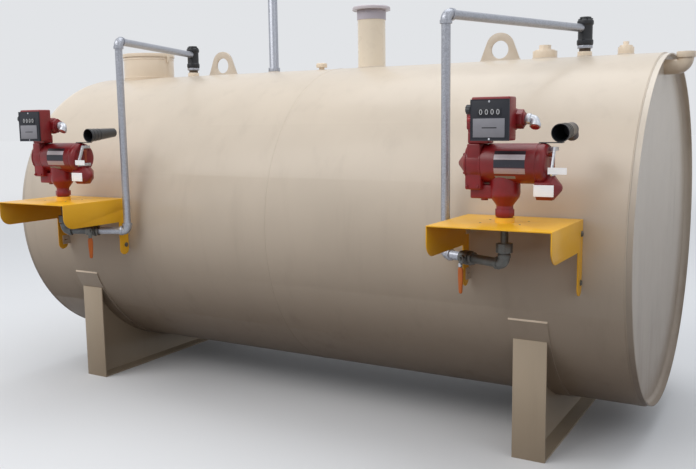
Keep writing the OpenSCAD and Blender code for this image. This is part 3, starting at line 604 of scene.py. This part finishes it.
head("head_left", box_mm("head_left")[0].x, -1)
head("head_right", box_mm("head_right")[1].x, 1)
half = PLATE / 2
seams = [bead(TANK_R, GIRTH_X, 1.6), bead(TANK_R - half, x1 + half, 0.4),
         bead(TANK_R - half, x0 - half, 0.4)]
piece("seam_beads", [kept_inside(seam) for seam in seams], tank_paint)
print("shell radius", round(TANK_R), "mm, from", round(x0), "to", round(x1))

# %% [markdown]
# ## Saddles, pads and lugs
# These are flame-cut plates, so the CAD shapes are right and only their edges need rounding.
# A copy of the node is merged, its flat triangles are joined, and its edges are bevelled. A
# fillet weld runs along the foot of each lug and along the upper edges of the wear pads; the
# pads' welds are in a lighter cream, which paints a highlight along those edges.

# %% Plates on and under the shell
for name in ("saddle_left", "saddle_right"):
    refined(name, saddle_paint, 1.4)
dress("wear_pads", tank_paint)
refined("lifting_lugs", tank_paint, 2.2)
LUG_FOOT = 232                      # a lug's length along the tank
STUB_RADII = {"spare_fitting": 41, "inspection_fitting": 66, "gauge_cap": 17,
              "emergency_vent_riser": 84.2, "vent_pipe": 38, "suction_valve_left": 38,
              "suction_valve_right": 38}


def lengthwise(outline, start, end):
    """A prism along the tank: its outline is drawn in (y, z) and runs from start to end in x."""
    axes = Matrix(((0, 0, 1, 0), (1, 0, 0, 0), (0, 1, 0, 0), (0, 0, 0, 1)))
    return put(prism(outline, start, end), turn=axes)


def foot_welds(start, end, half_thick):
    """Two fillets, one each side of an upright plate on the top of the shell."""
    corner = [(0, -ROOT), (7, -ROOT), (0, 7)]
    return [lengthwise([(side * (half_thick + a), TOP + b) for a, b in corner], start, end)
            for side in (-1, 1)]


def pad_welds_painted_highlight():
    """A fillet along the upper edge of each wear pad, at the front and at the back."""
    pads = merged("wear_pads")
    corners = [v.co / MM for v in pads.verts]
    pads.free()
    slope = math.asin((AXIS_H - max(c.z for c in corners)) / TANK_R)
    thick = max(math.hypot(c.y, c.z - AXIS_H) for c in corners) - TANK_R
    fillet = [(TANK_R - 1, -0.001), (TANK_R + thick * 0.9, -0.001),
              (TANK_R + thick * 0.5, 0.005), (TANK_R - 1, 0.009)]    # radius, angle past the edge
    beads = []
    for end in (-1, 1):
        along = [c.x for c in corners if c.x * end > 0]
        for side in (-1, 1):
            outline = [(side * r * math.cos(slope - a), AXIS_H - r * math.sin(slope - a))
                       for r, a in fillet]
            beads.append(lengthwise(outline, min(along), max(along)))
    return beads


def ring_weld(x, radius):
    """A fillet round a stub on the shell, dropped to follow the shell's curve."""
    ring = turned([(radius - 1, -2), (radius + 6, -2), (radius + 3, 2.7), (radius - 1, 6)], 72,
                  closed=True)
    put(ring, (x, 0, TOP))
    for v in ring.verts:
        v.co.z -= TANK_R * MM - math.sqrt((TANK_R * MM) ** 2 - v.co.y ** 2)
    return ring


lug_low, lug_high = box_mm("lifting_lugs")
lug_ends = [(lug_low.x, lug_low.x + LUG_FOOT), (lug_high.x - LUG_FOOT, lug_high.x)]
lug_beads = [b for start, end in lug_ends for b in foot_welds(start, end, lug_high.y)]
stub_beads = [ring_weld(middle_x(node), radius) for node, radius in STUB_RADII.items()]
piece("top_welds", lug_beads + stub_beads, weld_paint)
# The pads' welds take the lighter fitting cream: a painted highlight along the pads' upper edges.
piece("pad_welds_painted_highlight", pad_welds_painted_highlight(), sky_lit_fitting_paint)
print("welds:", len(lug_beads), "along lugs and", len(stub_beads), "round stubs")

# %% [markdown]
# ## Fittings on top
# The spill box is a light sheet-metal can with a hinged lid; the emergency vent is a heavy
# pipe with a loose cap. Their CAD shapes are kept, with rounded edges. Two rolled hoops
# stiffen the spill box, and a bare collar shows under the vent's cap.

# %% Spill box, vents and plugs
refined("spill_box", sky_lit_fitting_paint, 1.2)
refined("spill_box_lid", sky_lit_fitting_paint, 1.2, body="spill_box_lid")
refined("emergency_vent_riser", sky_lit_riser_paint, 1.5)
refined("emergency_vent_cap", cap_grey, 2.5, body="emergency_vent_cap")


def hoop(x, radius, low, high, out):
    """A band round an upright pipe, with its edges drawn in."""
    ring = turned([(radius - 1, low), (radius + out, low + 1), (radius + out, high - 1),
                   (radius - 1, high)], 96, closed=True)
    return put(ring, (x, 0, 0))


COLLAR_H, COLLAR_OUT = 58, 0.8
low, high = box_mm("emergency_vent_riser")
collar = hoop((low.x + high.x) / 2, (high.x - low.x) / 2, high.z - COLLAR_H, high.z, COLLAR_OUT)
piece("vent_collar", collar, vent_grey)
for node, rounding in (("inspection_fitting", 2), ("spare_fitting", 2), ("gauge_cap", 1.2),
                       ("suction_couplings", 2), ("head_vent_elbow", 2)):
    refined(node, sky_lit_fitting_paint, rounding)
refined("vent_pipe", galvanised, 1)
refined("vent_pipe_cap", galvanised, 1.5)

SPILL_X, SPILL_R = -1620, 176
HOOP_H, HOOP_OUT = 8, 2.5
low, high = box_mm("spill_box")
piece("spill_box_hoops", [soften(hoop(SPILL_X, SPILL_R, z, z + HOOP_H, HOOP_OUT), 0.8)
                          for z in (low.z + 16, high.z - 40)], sky_lit_fitting_paint)
print("fittings on top done")

# %% [markdown]
# ## Suction valves and pipes
# A valve on each coupling feeds a level pipe that runs out to the front and drops to the
# pump. The valve is one CAD node, but the real one has three finishes: a rusty nipple, a
# galvanised ring and a black body with a cap. So it is turned again as three pieces, and the
# first of them stands for the node. The pipes keep their CAD shape and take zinc. Below the
# shelf the run is parted: the length next to the drop pipe is zinc, and the rest is iron on
# the right and worn zinc on the left.

# %% Suction valves
VALVE_R, NIPPLE_R = 43, 30
RING_LOW, RING_HIGH = 16, 32        # the galvanised ring, above the coupling
THREAD_PITCH, THREAD_DEPTH = 3, 1.5
RUN_FINISH = {"left": worn_zinc, "right": dull_iron}


def valve_body(tall):
    """The black body with a flange at each end, and six cap screws on the upper one."""
    r = VALVE_R
    body = turned([(0, RING_HIGH), (r - 3, RING_HIGH), (r, 40), (r, 58), (r - 5, 64),
                   (r - 5, tall - 44), (r, tall - 38), (r, tall - 22), (r - 4, tall - 16),
                   (NIPPLE_R, tall - 12), (NIPPLE_R, tall), (0, tall)], 48)
    caps = [b for x, y in polygon(6, r - 9)
            for b in bolt((x, y, tall - 14), UP, across=9, thick=6, washer=6)]
    return [soften(body, 2)] + caps


for side in ("left", "right"):
    node = "suction_valve_" + side
    low, high = box_mm(node)
    at = (middle_x(node), 0, low.z)
    piece(node + "_body", [put(part, at) for part in valve_body(high.z - low.z)], valve_black,
          stands_for=(node,))
    thread = [(NIPPLE_R - 1 + i % 2 * THREAD_DEPTH, 1 + i * THREAD_PITCH / 2) for i in range(10)]
    nipple = turned([(0, 0), (NIPPLE_R, 0)] + thread + [(NIPPLE_R, RING_LOW), (0, RING_LOW)], 48)
    piece(node + "_nipple", put(nipple, at), rusty_nipple)
    ring = soften(prism(polygon(8, VALVE_R - 2), RING_LOW, RING_HIGH), 2)
    piece(node + "_ring", put(ring, at), galvanised)
    for name in ("crossover_pipe_", "drop_pipe_"):
        dress(name + side, galvanised)
    run = "supply_run_" + side
    low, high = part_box("drop_pipe_" + side)
    drop_foot = Vector(((low.x + high.x) / 2, (low.y + high.y) / 2, low.z))
    first, rest = parted(merged(run), drop_foot)
    piece("zinc_" + run, soften(first, 1), galvanised)
    piece("iron_" + run, soften(rest, 1), RUN_FINISH[side], stands_for=(run,))
    refined("ball_valve_" + side, valve_metal, 1.2)
print("suction valves and pipes done")

# %% [markdown]
# ## Valve levers
# A lever is a pressed steel strip with a dipped vinyl grip, held by a nut. It turns about its
# stem, so all three pieces ride on the lever's own body. Their outlines are drawn in the
# lever's own plane, with the stem at (0, 0) and the tip straight below it.

# %% Levers
STRIP_HALF, GRIP_HALF = 2, 4.2      # half thicknesses
EYE_R = 16.5                        # the round end of the strip, about the stem
joints = {j["child"]: j for j in frame["joints"]}
for side in ("left", "right"):
    node = "valve_lever_" + side
    stem, axis = Vector(joints[node]["pos_m"]), Vector(joints[node]["axis"])
    low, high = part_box(node)
    across = UP.cross(axis).normalized()
    outward = across.cross(UP)
    plane = Matrix((across, UP, outward)).transposed().to_4x4()
    level = ((low + high) / 2 - stem).dot(outward) / MM
    tip = (low.z - stem.z) / MM - 0.5
    outline = [(-10, -40), (10, -40), (14.5, -52), (14.5, -84), (9.5, tip + 8), (6, tip),
               (-6, tip), (-9.5, tip + 8), (-14.5, -84), (-14.5, -52)]
    grip = soften(prism(outline, level - GRIP_HALF, level + GRIP_HALF), 2.6, segments=3)
    nut = soften(put(prism(polygon(6, 10), level + 1.5, level + 9), (0, -29, 0)), 1)
    outline = arc(EYE_R, -40, 220, 20) + [(-9, -44), (9, -44)]
    strip = soften(prism(outline, level - STRIP_HALF, level + STRIP_HALF), 0.6)
    piece(node + "_nut", put(nut, stem / MM, plane), bright_plate, body=node)
    piece(node + "_grip", put(grip, stem / MM, plane), grip_orange, body=node)
    piece(node + "_strip", put(strip, stem / MM, plane), dull_iron, body=node,
          stands_for=(node,))
print("levers done")

# %% [markdown]
# ## Pump shelves
# Each shelf is bent from one plate: a level top, two side plates and two straps that are
# bolted to lugs on the shell. The CAD copy is rounded, and bolts go through its straps. A
# sheet-metal screw closes each of the small unused holes in the top.

# %% Shelves and bolts
SHELF_H, INLET_Y = 1200, -1150      # a shelf's top, and the pump's inlet on it
PUMP_DX = -9                        # inlet to the shelf's middle
BOLT_IN, BOLT_DROPS = 21, (62, 279)  # from the strap's back edge and from the top
PLUG_DX, PLUG_DY = 87, 62           # from the inlet
for side in ("left", "right"):
    node = "pump_shelf_" + side
    refined(node, shelf_paint, 1.5)
    low, high = box_mm(node)
    heads = [b for x, out in ((low.x, -1), (high.x, 1)) for drop in BOLT_DROPS
             for b in bolt((x, high.y - BOLT_IN, SHELF_H - drop), (out, 0, 0))]
    piece("shelf_bolts_" + side, heads, dull_iron)
    inlet_x = middle_x(node) + PUMP_DX
    plugs = [soften(put(rod(5, -1, 1.2, 20), (inlet_x + dx, INLET_Y + dy, SHELF_H)), 0.6)
             for dy in (-PLUG_DY, PLUG_DY) for dx in (-PLUG_DX, PLUG_DX)]
    piece("shelf_plugs_" + side, plugs, dull_iron)
dress("shelf_lugs", tank_paint)
print("shelves done, back edge at", round(high.y))

# %% [markdown]
# ## The pumps
# A pump is a stack: a bowl that stands on the shelf, a casing with a domed cover at its left
# end, the round motor, and a switch box hung below the motor's end. All numbers below are
# millimetres from the pump's inlet on the shelf's top, the same ones as in the CAD, so each
# shape is written once and moved to both places.

# %% Pump body
MOTOR_UP, SWITCH_UP, METER_UP = 252, 153, 437   # the axes of the round parts
MOTOR_R = 85
CASING_FRONT = -70
EIGHTH = math.pi / 8                # half a side of an octagon


def cast(low, high, rounding=6):
    """A cast block with round corners."""
    return soften(slab(low, high), rounding, segments=3)


def casing_parts():
    """The bowl with its neck and collar, the square casting, and the domed cover."""
    bowl = [rod(36, 21, 72, 48),
            soften(prism(polygon(8, 43), 28, 57), 1),
            turned([(0, 70), (36, 70), (38, 76), (60, 106), (64, 116), (65, 128), (65, 208),
                    (0, 208)], 64)]
    blocks = [cast((-156, CASING_FRONT, 141), (-84, 70, MOTOR_UP), 7),
              cast((-144, -80, MOTOR_UP), (-84, -6, MOTOR_UP + MOTOR_R)),
              cast((-142, -42, 102), (-40, 42, 161))]
    barrel, flange = rod(84, -152, -84, 96), rod(86, -156, -148, 96)
    joint_ring = rod(85.8, -92, -84, 96)
    cover = turned([(0, -210), (7, -210), (10, -208.5), (66, -160), (71, -155), (0, -155)], 96)
    level = [put(soften(p, 1.5), (0, 0, MOTOR_UP), ALONG_X)
             for p in (barrel, flange, cover, joint_ring)]
    drain_plug = soften(put(prism(polygon(6, 17), 92, 104), (-92, 0, 0)), 1.2)
    return [soften(p, 2, segments=3) for p in bowl] + blocks + level + [drain_plug]


def motor_parts():
    """The motor's can, with a groove before its end bell."""
    r = MOTOR_R
    shape = turned([(0, -83.7), (r, -83.7), (r, 146), (r - 2, 148), (r - 2, 152), (r, 154),
                    (r, 172), (82, 181), (76, 187), (68, 190), (24, 190), (22, 188), (0, 188)], 96)
    return [put(soften(shape, 0.8), (0, 0, MOTOR_UP), ALONG_X)]


def switch_parts():
    """An eight-sided drum with a pointed cover, and the neck that joins it to the motor."""
    drum = soften(prism(polygon(8, 56, EIGHTH), 142, 209), 3, segments=3)
    cover = turned([(0, 207), (53, 207), (51, 211), (14, 242), (8, 245), (0, 246)], 8)
    cover.transform(Matrix.Rotation(EIGHTH, 4, "Z"))
    neck = soften(slab((150, -24, 186), (196, 24, 206)), 3)
    return [put(p, (0, 0, SWITCH_UP), ALONG_X) for p in (drum, soften(cover, 2))] + [neck]


def pump_bolts():
    """Six bolts round the cover, four in the motor's end and two in the casting's front."""
    cover = [(-156, y, MOTOR_UP + z) for y, z in polygon(6, 78.5, math.pi / 6)]
    bell = [(188, y, MOTOR_UP + z) for y, z in polygon(4, 60, math.pi / 4)]
    front = [(x, CASING_FRONT, SWITCH_UP) for x in (-146, -97)]
    return [b for places, axis, across, thick in (
        (cover, (-1, 0, 0), 10, 7), (bell, (1, 0, 0), 10, 6), (front, (0, -1, 0), 11, 6))
        for at in places for b in bolt(at, axis, across, thick, washer=7)]


print("pump shapes:", len(casing_parts()), "casing parts and", len(pump_bolts()), "bolt parts")

# %% [markdown]
# ## The meters
# The meter is a red case with a black face in front of a round measuring chamber. The face
# has a raised rim, a window with four number wheels near its top, and a plate below it. The
# numbers are text that is turned into a mesh; wheels stand slightly apart, so each digit gets
# its own drum.

# %% Meter shapes
FACE_LEFT, FACE_RIGHT, FACE_LOW, FACE_TOP = -74, 89, 352, 517
FACE_FRONT, FACE_BACK = -219, -209
RIM_W, RIM_SUNK = 7, 2.2
METER_Y = -103                      # the chamber's axis
PORT_END = 119
WHEELS_X, WHEELS_UP = (-29, -5, 19, 43), 465.5
REST_UP = MOTOR_UP + MOTOR_R + 0.3  # what stands on the casting, with a hair of clearance


def meter_parts():
    """The square case, the round chamber with its outlet port, and the foot on the casting."""
    case = soften(slab((FACE_LEFT, FACE_BACK, FACE_LOW), (FACE_RIGHT, -131, FACE_TOP + 10)), 7,
                  segments=4)
    chamber = turned([(0, -70), (38, -70), (45, -63), (45, 78), (38, 85), (0, 85)], 64)
    port = prism(polygon(6, 40), 84, 112)
    mouth = rod(27, 110, PORT_END, 40)
    level = [put(soften(p, 2), (0, METER_Y, METER_UP), ALONG_X) for p in (chamber, port, mouth)]
    return [case] + level + [cast((-141, -78, REST_UP), (-49, -8, 385)),
                             cast((-141, -78, 380), (-49, -50, METER_UP)),
                             cast((-128, -128, 395), (-66, -76, 470), 8)]


def face_parts():
    """The face's plate, its raised rim and the frame of its window."""
    plate = soften(slab((FACE_LEFT, FACE_FRONT, FACE_LOW), (FACE_RIGHT, FACE_BACK - 0.3, FACE_TOP)),
                   2.5)
    rim = slab((FACE_LEFT, FACE_FRONT - 2, FACE_LOW), (FACE_RIGHT, FACE_FRONT + 1, FACE_TOP))
    front = min(rim.faces, key=lambda f: f.calc_center_median().y)
    bmesh.ops.inset_individual(rim, faces=[front], thickness=RIM_W * MM, depth=0.0)
    bmesh.ops.translate(rim, vec=(0, RIM_SUNK * MM, 0), verts=front.verts)
    window = soften(slab((-44, FACE_FRONT - 2, 449), (56, FACE_FRONT + 1, 482)), 0.8)
    return [plate, soften(rim, 0.9), window]


def digit(glyph, x):
    """One character on a number wheel, as a mesh."""
    text = bpy.data.curves.new("glyph", "FONT")
    text.body, text.size, text.extrude = glyph, 0.030, 0.0002
    text.align_x, text.align_y = "CENTER", "CENTER"
    loose = bpy.data.objects.new("glyph", text)
    bpy.context.scene.collection.objects.link(loose)
    bpy.context.view_layer.update()
    mesh = bpy.data.meshes.new_from_object(loose)
    bm = bmesh.new()
    bm.from_mesh(mesh)
    bpy.data.objects.remove(loose)
    bpy.data.meshes.remove(mesh)
    bmesh.ops.remove_doubles(bm, verts=bm.verts, dist=1e-6)
    return put(bm, (x, FACE_FRONT - 2.3, WHEELS_UP), OUT_Y)


def knob_outline(radius):
    """A circle with twelve shallow grooves for the fingers."""
    crests, grooves = polygon(12, radius), polygon(12, radius - 2.2, math.pi / 12)
    return [point for pair in zip(crests, grooves) for point in pair]


print("meter shapes:", len(meter_parts()), "parts")

# %% [markdown]
# ## Plates on the pumps
# The motor carries a printed plate that wraps round its front. It is a sheet in the shape of
# the motor: a straight edge spun about the motor's axis, then given a thickness. Its print is
# left out, and only the plain bands stay. The paper tags are short curled sheets.

# %% Curved plate and tags
SHEET_T = 0.8


def wrapped_plate(start, end, low_angle, high_angle):
    """A sheet on the motor's front, between two angles above the level line."""
    bm = bmesh.new()
    a, radius = math.radians(low_angle), MOTOR_R + SHEET_T / 2
    y, z = -radius * math.cos(a), radius * math.sin(a)
    edge = bm.edges.new([bm.verts.new((x * MM, y * MM, z * MM)) for x in (start, end)])
    bmesh.ops.spin(bm, geom=list(edge.verts) + [edge], cent=(0, 0, 0), axis=(-1, 0, 0),
                   dvec=(0, 0, 0), angle=math.radians(high_angle - low_angle), steps=14,
                   use_merge=False, use_duplicate=False)
    bmesh.ops.recalc_face_normals(bm, faces=bm.faces)
    bmesh.ops.solidify(bm, geom=bm.faces[:], thickness=SHEET_T * MM)
    bmesh.ops.recalc_face_normals(bm, faces=bm.faces)
    return put(bm, (0, 0, MOTOR_UP))


def paper_tag(start, end, y, low, high):
    """A paper tag that bows 3 mm along its length."""
    bm = slab((start, y - 0.3, low), (end, y + 0.3, high))
    cuts = [e for e in bm.edges if abs(e.verts[0].co.x - e.verts[1].co.x) > 0.01]
    bmesh.ops.subdivide_edges(bm, edges=cuts, cuts=8, use_grid_fill=True)
    for v in bm.verts:
        along = (v.co.x / MM - start) / (end - start)
        v.co.y += 3 * MM * math.sin(along * math.pi * 1.4)
    return bm


motor_plate = banded_plate("motor_plate", (SHELF_H + 204) * MM, [
    (0.090, 0.104, srgb(48, 44, 52)), (0.067, 0.088, srgb(232, 226, 232)),
    (0.034, 0.066, srgb(50, 52, 66)), (0.008, 0.031, srgb(200, 176, 180))], srgb(96, 40, 48))
print("plates ready:", motor_plate.name)

# %% [markdown]
# ## Nozzle holders
# The nozzle boot is a tapered plastic tube, closed at its narrow end, with a rolled lip. Its
# profile goes up the outside and back down the inside before it is spun. The bent strap
# beside the motor holds a nozzle's guard, and the small lever starts the pump.

# %% Nozzle boot
BOOT_X, BOOT_R = 232, 38
STRAP_T = 4
BOOT_UP = REST_UP + STRAP_T + BOOT_R - 1
BOOT_RISE, TIP_HANGS = math.radians(4), math.radians(50)   # both from the level line
BOOTS = {"left": (205, 26), "right": (170, 30)}   # each tube's run, and its radius at the end
KNEE_R = 31
BACK = Matrix.Rotation(BOOT_RISE - math.pi / 2, 4, "X")
BACK_AND_DOWN = Matrix.Rotation(-TIP_HANGS - math.pi / 2, 4, "X")


def boot_parts(run, end_r):
    """The tube from its mouth at 0 to its blind end at `run`, with ribs and the bracket."""
    def radius(at):
        return BOOT_R - (BOOT_R - end_r) * at / run

    tube = turned([(0, run), (end_r - 4, run), (end_r, run - 5), (radius(12), 12), (39, 8), (39, 2),
                   (37, 0), (35, 2), (33, 12), (end_r - 3, run - 16), (0, run - 6)], 56)
    ribs = [turned([(radius(z) - 1.5, z), (radius(z) + 1, z + 2), (radius(z) + 0.7, z + 5),
                    (radius(z) - 2, z + 7)], 56, closed=True) for z in (20, 46, 72)]
    strap = soften(slab((148, -17, REST_UP), (BOOT_X + 14, 17, REST_UP + STRAP_T)), 1)
    return [put(p, (BOOT_X, 0, BOOT_UP), BACK) for p in [soften(tube, 0.6)] + ribs] + [strap]


def boot_tip(run):
    """The soft end of the right boot, which hangs down: a knee and a tapered sleeve."""
    knee = turned([(0, -KNEE_R)] + arc(KNEE_R, -80, 80, 10) + [(0, KNEE_R)], 48)
    sleeve = turned([(0, 0), (29, 0), (26, 38), (24, 43), (20, 45), (0, 45)], 48)
    at = (BOOT_X, run * math.cos(BOOT_RISE), BOOT_UP + run * math.sin(BOOT_RISE))
    return [put(knee, at, BACK), put(soften(sleeve, 1), at, BACK_AND_DOWN)]


print("boot:", len(boot_parts(*BOOTS["left"])), "parts")

# %% [markdown]
# ## Both pump sets
# Now every shape is placed twice. The moving ones, the reset knob and the switch lever, ride
# on their own bodies, and the rest belongs to the tank. Small parts are drawn here: the
# face's wheels, screws and plate, the knob, the tags and the outlet's plug.

# %% Place the pump sets
GLASS = FACE_FRONT - 2              # the front of the meter's window
KNOB_Y, KNOB_UP = -190, 478
OUTLET_CORNER = Vector((PORT_END + 44, METER_Y, METER_UP))
OUTLET_MOUTH = Vector((0, -0.5, -0.866))
for side in ("left", "right"):
    inlet = (middle_x("pump_shelf_" + side) + PUMP_DX, INLET_Y, SHELF_H)

    def add(name, parts, finish=pump_red, node="", body="tank"):
        """Moves the parts to this side's pump; they stand for `node` if one is named."""
        piece(f"{name}_{side}", [put(p, inlet) for p in parts], finish, body,
              (f"{node}_{side}",) if node else ())

    add("casing", casing_parts(), node="pump_casing")
    add("motor", motor_parts(), node="pump_motor")
    add("switch_drum", switch_parts(), node="switch_box")
    add("pump_bolts", pump_bolts())
    add("meter_case", meter_parts(), node="meter_body")
    add("meter_front", face_parts(), face_black, "meter_face")
    add("meter_drums", [soften(slab((x - 10, GLASS - 0.2, 453), (x + 10, GLASS + 0.6, 478)), 0.3)
                        for x in WHEELS_X], drum_black)
    add("meter_digits", [digit("0", x) for x in WHEELS_X], digit_white)
    add("meter_plate", [soften(slab((-62, GLASS, 366), (71, GLASS + 2.5, 441)), 0.5)],
        plate_grey)
    add("meter_bar", [soften(slab((-24, GLASS - 0.3, 402), (38, GLASS + 0.2, 406)), 0.2)],
        drum_black)
    add("meter_screws", [put(soften(rod(4.2, 0, 2.2, 20), 0.8), (6, FACE_FRONT + 0.4, z), OUT_Y)
                         for z in (508, 359)], bright_plate)
    add("side_cap", [put(soften(rod(14, -1, 20, 32), 3), (FACE_LEFT, KNOB_Y, METER_UP), LEFTWARDS)],
        bright_red)
    knob = [soften(prism(knob_outline(20), 6, 26), 1), soften(rod(10, 0.5, 7, 32), 0.6),
            soften(rod(12, 25, 27, 24), 0.8)]
    add("ribbed_reset_knob", [put(p, (FACE_LEFT - 0.5, KNOB_Y, KNOB_UP), LEFTWARDS) for p in knob],
        moulded_black, "reset_knob", "reset_knob_" + side)
    add("motor_plate", [wrapped_plate(-23, 111, -29, 40)], motor_plate)
    add("rating_plate", [wrapped_plate(-22, 66, -46, -36)], plate_grey)
    refined("outlet_elbow_" + side, bright_plate, 0.8)
    add("boot_shell", boot_parts(*BOOTS[side]), moulded_black, "nozzle_boot")
    if side == "right":
        # The right boot's tip is lighter grey: a painted reflection.
        add("boot_tip", boot_tip(BOOTS[side][0]), boot_tip_painted_sheen)
    refined("nozzle_hook_" + side, bright_plate, 0.8)
    refined("switch_lever_" + side, lever_orange, 1.4,
            body="switch_lever_" + side)
    add("motor_tag", [paper_tag(206, 284, -80.4, 214, 241)], paper)
    add("switch_tag", [soften(slab((140, -53.4, 119), (224, -51.9, 167)), 0.3)], paper)
    add("outlet_plug", [put(soften(rod(17, 0, 7, 32), 1.2), OUTLET_CORNER + OUTLET_MOUTH * 34,
                            facing(OUTLET_MOUTH))], bright_red)
print("pump sets placed")

# %% [markdown]
# ## Floor and light
# The floor is one pale sheet that runs far past the tank. To the camera and in reflections it
# shows pale; for the light it bounces it is darker, like the yard the tank stands on, so the
# underside of the tank is not lit from below. Three large soft lamps and an even sky light
# the tank at a plain level.

# %% Floor and backdrop
FLOOR_SIZE = 160
FADE_START, FADE_END = 4, 18        # metres from the tank, where the floor turns into sky
SKY_SHOWN = srgb(226, 228, 231)
pale, bounced = srgb(226, 227, 229), srgb(88, 68, 50)
bpy.ops.mesh.primitive_grid_add(x_subdivisions=2, y_subdivisions=2, size=FLOOR_SIZE)
floor = bpy.context.object
floor.name = "floor"
ground = Finish("pale_floor")
rays = [ground.node("LightPath", {}, {}, "Is %s Ray" % kind)
        for kind in ("Camera", "Glossy", "Transmission")]
seen = (rays[0] + rays[1] + rays[2]).capped()
reach = ground.node("VectorMath", {"operation": "LENGTH"}, {0: ground.place}, "Value")
far = ground.window(reach, FADE_START, FADE_END)
floor.data.materials.append(ground.done(
    Base_Color=ground.mix(far, ground.mix(seen, bounced, pale), (0, 0, 0)),
    Emission_Color=ground.mix(seen * far, (0, 0, 0), SKY_SHOWN), Emission_Strength=0.97,
    Roughness=ground.noise(6, 4) * 0.03 + 0.8, Specular_IOR_Level=0.1))

world = bpy.data.worlds.new("studio")
bpy.context.scene.world = world
world.use_nodes = True
sky = world.node_tree
lit = sky.nodes["Background"]
lit.inputs["Color"].default_value = (0.93, 0.96, 1.0, 1)
lit.inputs["Strength"].default_value = 0.70
shown, path, choose, either = (sky.nodes.new("ShaderNode" + kind) for kind in
                               ("Background", "LightPath", "MixShader", "Math"))
shown.inputs["Color"].default_value = (*SKY_SHOWN, 1)
either.operation, either.use_clamp = "ADD", True
for start, end in ((path.outputs["Is Camera Ray"], either.inputs[0]),
                   (path.outputs["Is Glossy Ray"], either.inputs[1]),
                   (either.outputs[0], choose.inputs[0]), (lit.outputs[0], choose.inputs[1]),
                   (shown.outputs[0], choose.inputs[2]),
                   (choose.outputs[0], sky.nodes["World Output"].inputs["Surface"])):
    sky.links.new(start, end)


def lamp(name, place, target, size, power, colour):
    """A soft rectangular lamp at a place, aimed at a target."""
    light = bpy.data.lights.new(name, "AREA")
    light.shape, light.size, light.size_y = "RECTANGLE", *size
    light.energy, light.color = power, colour
    obj = bpy.data.objects.new(name, light)
    bpy.context.scene.collection.objects.link(obj)
    aim = Vector(target) - Vector(place)
    obj.matrix_world = Matrix.Translation(place) @ aim.to_track_quat("-Z", "Y").to_matrix().to_4x4()


lamp("key", (-3.5, -6.5, 7.5), (0, 0, 1.2), (8, 5), 350, (1.0, 0.98, 0.95))
lamp("top", (0.5, 1.5, 8.5), (0, 0, 1.5), (8, 5), 210, (0.96, 0.98, 1.0))
lamp("end", (8.5, -2.5, 6.0), (1.9, 0, 1.5), (5, 4), 46, (0.95, 0.97, 1.0))
bpy.context.scene.view_settings.view_transform = "Standard"
print("floor, sky and three lamps placed")

# %% [markdown] ## Sizes
# The looks may not change the object's size.

# The CAD model's box is printed.

# %% Sizes and finish
print("CAD box", [tuple(round(v, 3) for v in c) for c in cad_box])
